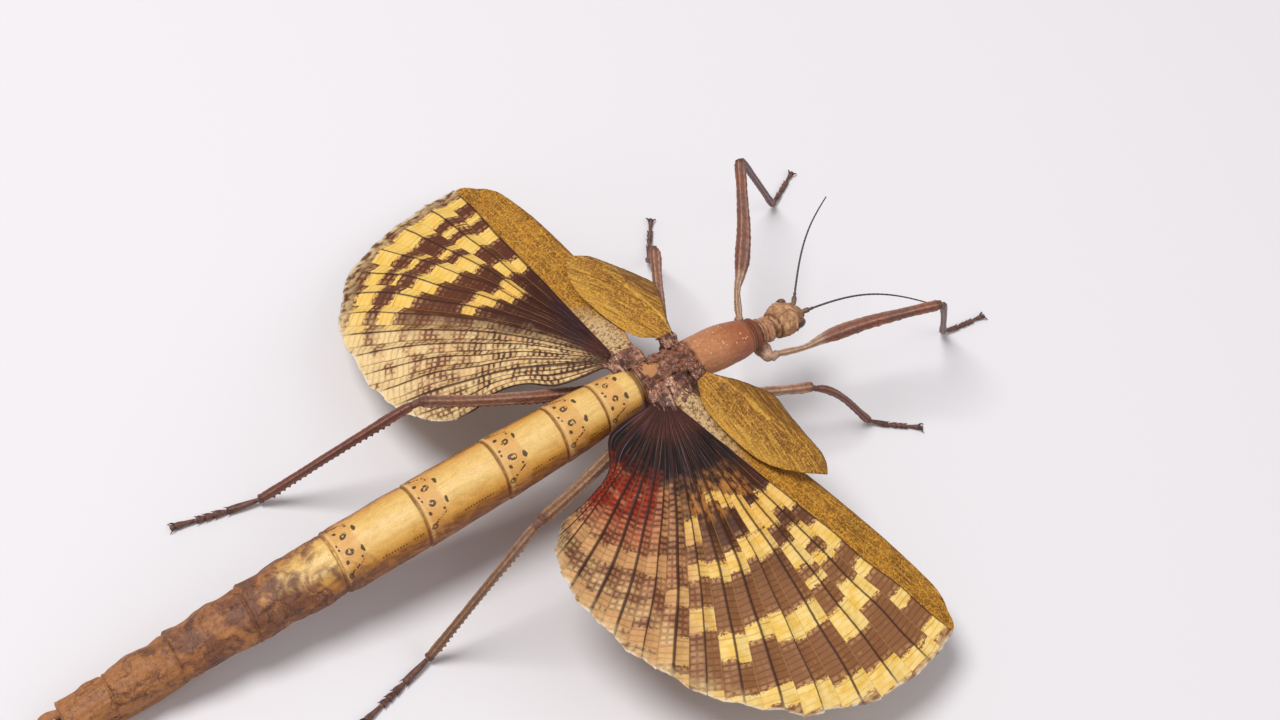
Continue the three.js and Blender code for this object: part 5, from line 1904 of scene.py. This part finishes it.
# A fore wing: leathery skin, olive ahead of the middle vein, darker on the hump, paler behind, with pale
# and dark lines that slant outward and a dark leading edge.
def leafColours(tree):
    spot = place(tree)
    at = surface(tree, "leafAcross", "leafAlong", "leafEdge", "leafRidge")
    across, along = at.leafAcross, at.leafAlong
    shell = use(leather, Place=spot, Cloud=wingPaint["olive"])
    broken = noise(spot, 1.6, 3)
    slant = noise(together(across * 1.1 + along * 9, along * 2), 0.5, 2)
    gloom = noise(spot, 5, 3, 0.6).ease(0.46, 0.66) * across.ease(-3, 1)
    colour = coats(
        wingPaint, shell.colour,
        (across.ease(1.3, 2.6) * broken.ease(0.3, 0.6) * 0.7, "olive"),
        (along.near(0.5, 0.1, 0.16) * across.near(4, 1, 2) * 0.6, "leatherDark"),
        (across.ease(-2, -5.6) * 0.4, "leatherLight"),
        (slant.ease(0.55, 0.64) * 0.55, "leatherLight"),
        (slant.ease(0.46, 0.38) * 0.5, "leatherDark"),
        (at.leafRidge.ease(0.3, 0.9) * broken.ease(0.36, 0.5) * 0.7, "leatherLight"),
        (gloom * 0.55, "leatherDark"),
        (at.leafEdge.ease(0.45, 0.1) * 0.85, "edge"),
    )
    return colour, shell.height * -0.12 + 0.55, bump(shell.height, 0.12)


leafSkin = skin("foreWingSkin", leafColours, **{"Specular IOR Level": 0.35})

# The darkest and palest shades here paint shade low in the folds and highlight on their tops; ridge and
# crease paint highlight and shade, and outer is partly painted shade under the wing.
hingePaint = paints({
    "shadedFold": (78, 40, 30), "dull": (132, 82, 64), "skin": (176, 120, 92), "high": (218, 170, 138),
    "outer": (84, 36, 32), "strand": (206, 160, 138), "ridge": (230, 186, 156), "crease": (52, 24, 16),
})


# The crumpled skin at a wing's root: painted shade low in its folds and a painted highlight on their tops,
# creases painted as shade and ridges as highlight, and toward the wing dark red, partly painted shade
# where the skin runs in under the wing, with pale strands that run along the veins.
def hingeColours(tree):
    spot = place(tree)
    at = surface(tree, "crumple", "hingeShare", "hingeAlong")
    share = at.hingeShare
    folds = use(crumpled, Place=spot)
    outer = (share + shake(spot, 1.2) * 0.7).ease(0.45, 0.95)
    strands = noise(together(at.hingeAlong * 2.2, share * 0.8), 1, 2, 0.6)
    colour = coats(
        hingePaint,
        # painted shade and highlight by the height of the folds
        shades(at.crumple + shake(spot, 0.8) * 2, hingePaint,
               [(-1.4, "shadedFold"), (-0.6, "dull"), (0.4, "skin"), (1.6, "high")]),
        # painted highlight on the ridges and painted shade in the creases
        (folds.ridge * 0.85, "ridge"),
        (folds.crease * 0.9, "crease"),
        (noise(spot, 1.7, 2).ease(0.46, 0.36) * 0.75, "crease"),
        # dark red toward the wing, partly painted shade where the skin runs in under it
        (outer * 0.85, "outer"),
        (strands.ease(0.56, 0.66) * share.ease(0.25, 0.6) * 0.7, "strand"),
        (strands.ease(0.46, 0.36) * share.ease(0.3, 0.7) * 0.8, "crease"),
    )
    return colour, folds.ridge * -0.15 + 0.5, bump(folds.height + strands, 0.22)


hingeSkin = skin("wingHingeSkin", hingeColours)


print("Stage: pieces")
makePiece("trunkSkin", [trunkPart(), *granuleParts(), neckPart()], bodySkin, trunkNodes)
makePiece("eggPlate", [eggPlatePart()], bodySkin, ["operculum"])
for word in sides:
    makePiece(f"tailLobe_{word}", [cercusPart(word)], bodySkin, [f"cercus_{word}"])
makePiece("headCapsule", [headCapsule()], headSkin, ["head"])
makePiece("mouth", mouthParts(), headSkin, ["mouthparts"])
for word in sides:
    makePiece(f"compoundEye_{word}", [eyePart(word)], eyeGloss, [f"eye_{word}"])
    makePiece(f"feeler_{word}", [feelerPart(word)], feelerSkin, [f"antenna_{word}"])
for name in legNames:
    limb, ankle = legParts(name)
    bones = [f"{joint}_{name}" for joint in ("coxa", "femur", "tibia")]
    makePiece(f"leg_{name}", limb, legSkin, bones)
    makePiece(f"foot_{name}", footParts(name, ankle), footSkin, [f"tarsus_{name}"])
for word in sides:
    fan, fanMiddle = hindWingPart(word)
    leaf, leafMiddle = foreWingPart(word)
    makePiece(f"hindWing_{word}", [fan], fanSkins[word], [f"hind_wing_{word}"])
    makePiece(f"foreWing_{word}", [leaf], leafSkin, [f"fore_wing_{word}"])
    makePiece(f"wingHinge_{word}", hingeParts(word, fanMiddle, leafMiddle), hingeSkin)


print("Stage: floor, lights and camera")
# The camera's places are in millimetres from the insect's own origin, the lights' in metres.
stageSet = {
    "eye": (-174.4, -160.8, 390.4),
    "target": (6.61, 19.64, -4.06),
    "lens": 60,
    "roll": 14.4,
    "floorSize": 6,
    "floorPaint": (234, 231, 233),
    "lights": {
        "keyLight": {"place": (-0.42, 0.32, 1.35), "size": 0.62, "power": 15.2},
        "fillLight": {"place": (0.7, -0.7, 0.9), "size": 1.2, "power": 3.0},
    },
    "lightsAim": (0, 0, 0.02),
    "sky": (0.95, 0.93, 0.96, 1),
    "skyPower": 0.36,
}


# Camera at the eye, turned to the target, then rolled about the line between them.
def camera():
    eye, target = ((np.array(stageSet[name]) + origin) * mm for name in ("eye", "target"))
    back = Vector(eye - target).normalized()
    data = bpy.data.cameras.new("camera")
    data.lens = stageSet["lens"]
    data.clip_start = 0.01
    data.clip_end = 20
    lens = bpy.data.objects.new("camera", data)
    bpy.context.collection.objects.link(lens)
    level = (-back).to_track_quat("-Z", "Y").to_matrix()
    roll = Matrix.Rotation(math.radians(stageSet["roll"]), 3, back)
    lens.matrix_world = Matrix.Translation(Vector(eye)) @ (roll @ level).to_4x4()
    bpy.context.scene.camera = lens


# A round soft light that looks at the body's middle.
def softLight(name, place, size, power):
    data = bpy.data.lights.new(name, "AREA")
    data.shape = "DISK"
    data.size = size
    data.energy = power
    lamp = bpy.data.objects.new(name, data)
    lamp.location = Vector(place)
    aim = Vector(stageSet["lightsAim"]) - Vector(place)
    lamp.rotation_euler = aim.to_track_quat("-Z", "Y").to_euler()
    bpy.context.collection.objects.link(lamp)


# A square pale floor at height 0, one face.
def floor():
    half = stageSet["floorSize"] / 2
    mesh = bpy.data.meshes.new("floor")
    corners = [(-half, -half, 0), (half, -half, 0), (half, half, 0), (-half, half, 0)]
    mesh.from_pydata(corners, [], [(0, 1, 2, 3)])
    ground = bpy.data.objects.new("floor", mesh)
    bpy.context.collection.objects.link(ground)
    mesh.materials.append(skin("floorPaint", lambda tree: (paint(*stageSet["floorPaint"]), 0.9)))


# Even pale light from all round.
def sky():
    world = bpy.data.worlds.new("studio")
    world.use_nodes = True
    background = world.node_tree.nodes["Background"]
    background.inputs["Color"].default_value = stageSet["sky"]
    background.inputs["Strength"].default_value = stageSet["skyPower"]
    bpy.context.scene.world = world


camera()
floor()
for name, light in stageSet["lights"].items():
    softLight(name, **light)
sky()
bpy.context.scene.view_settings.view_transform = "Standard"
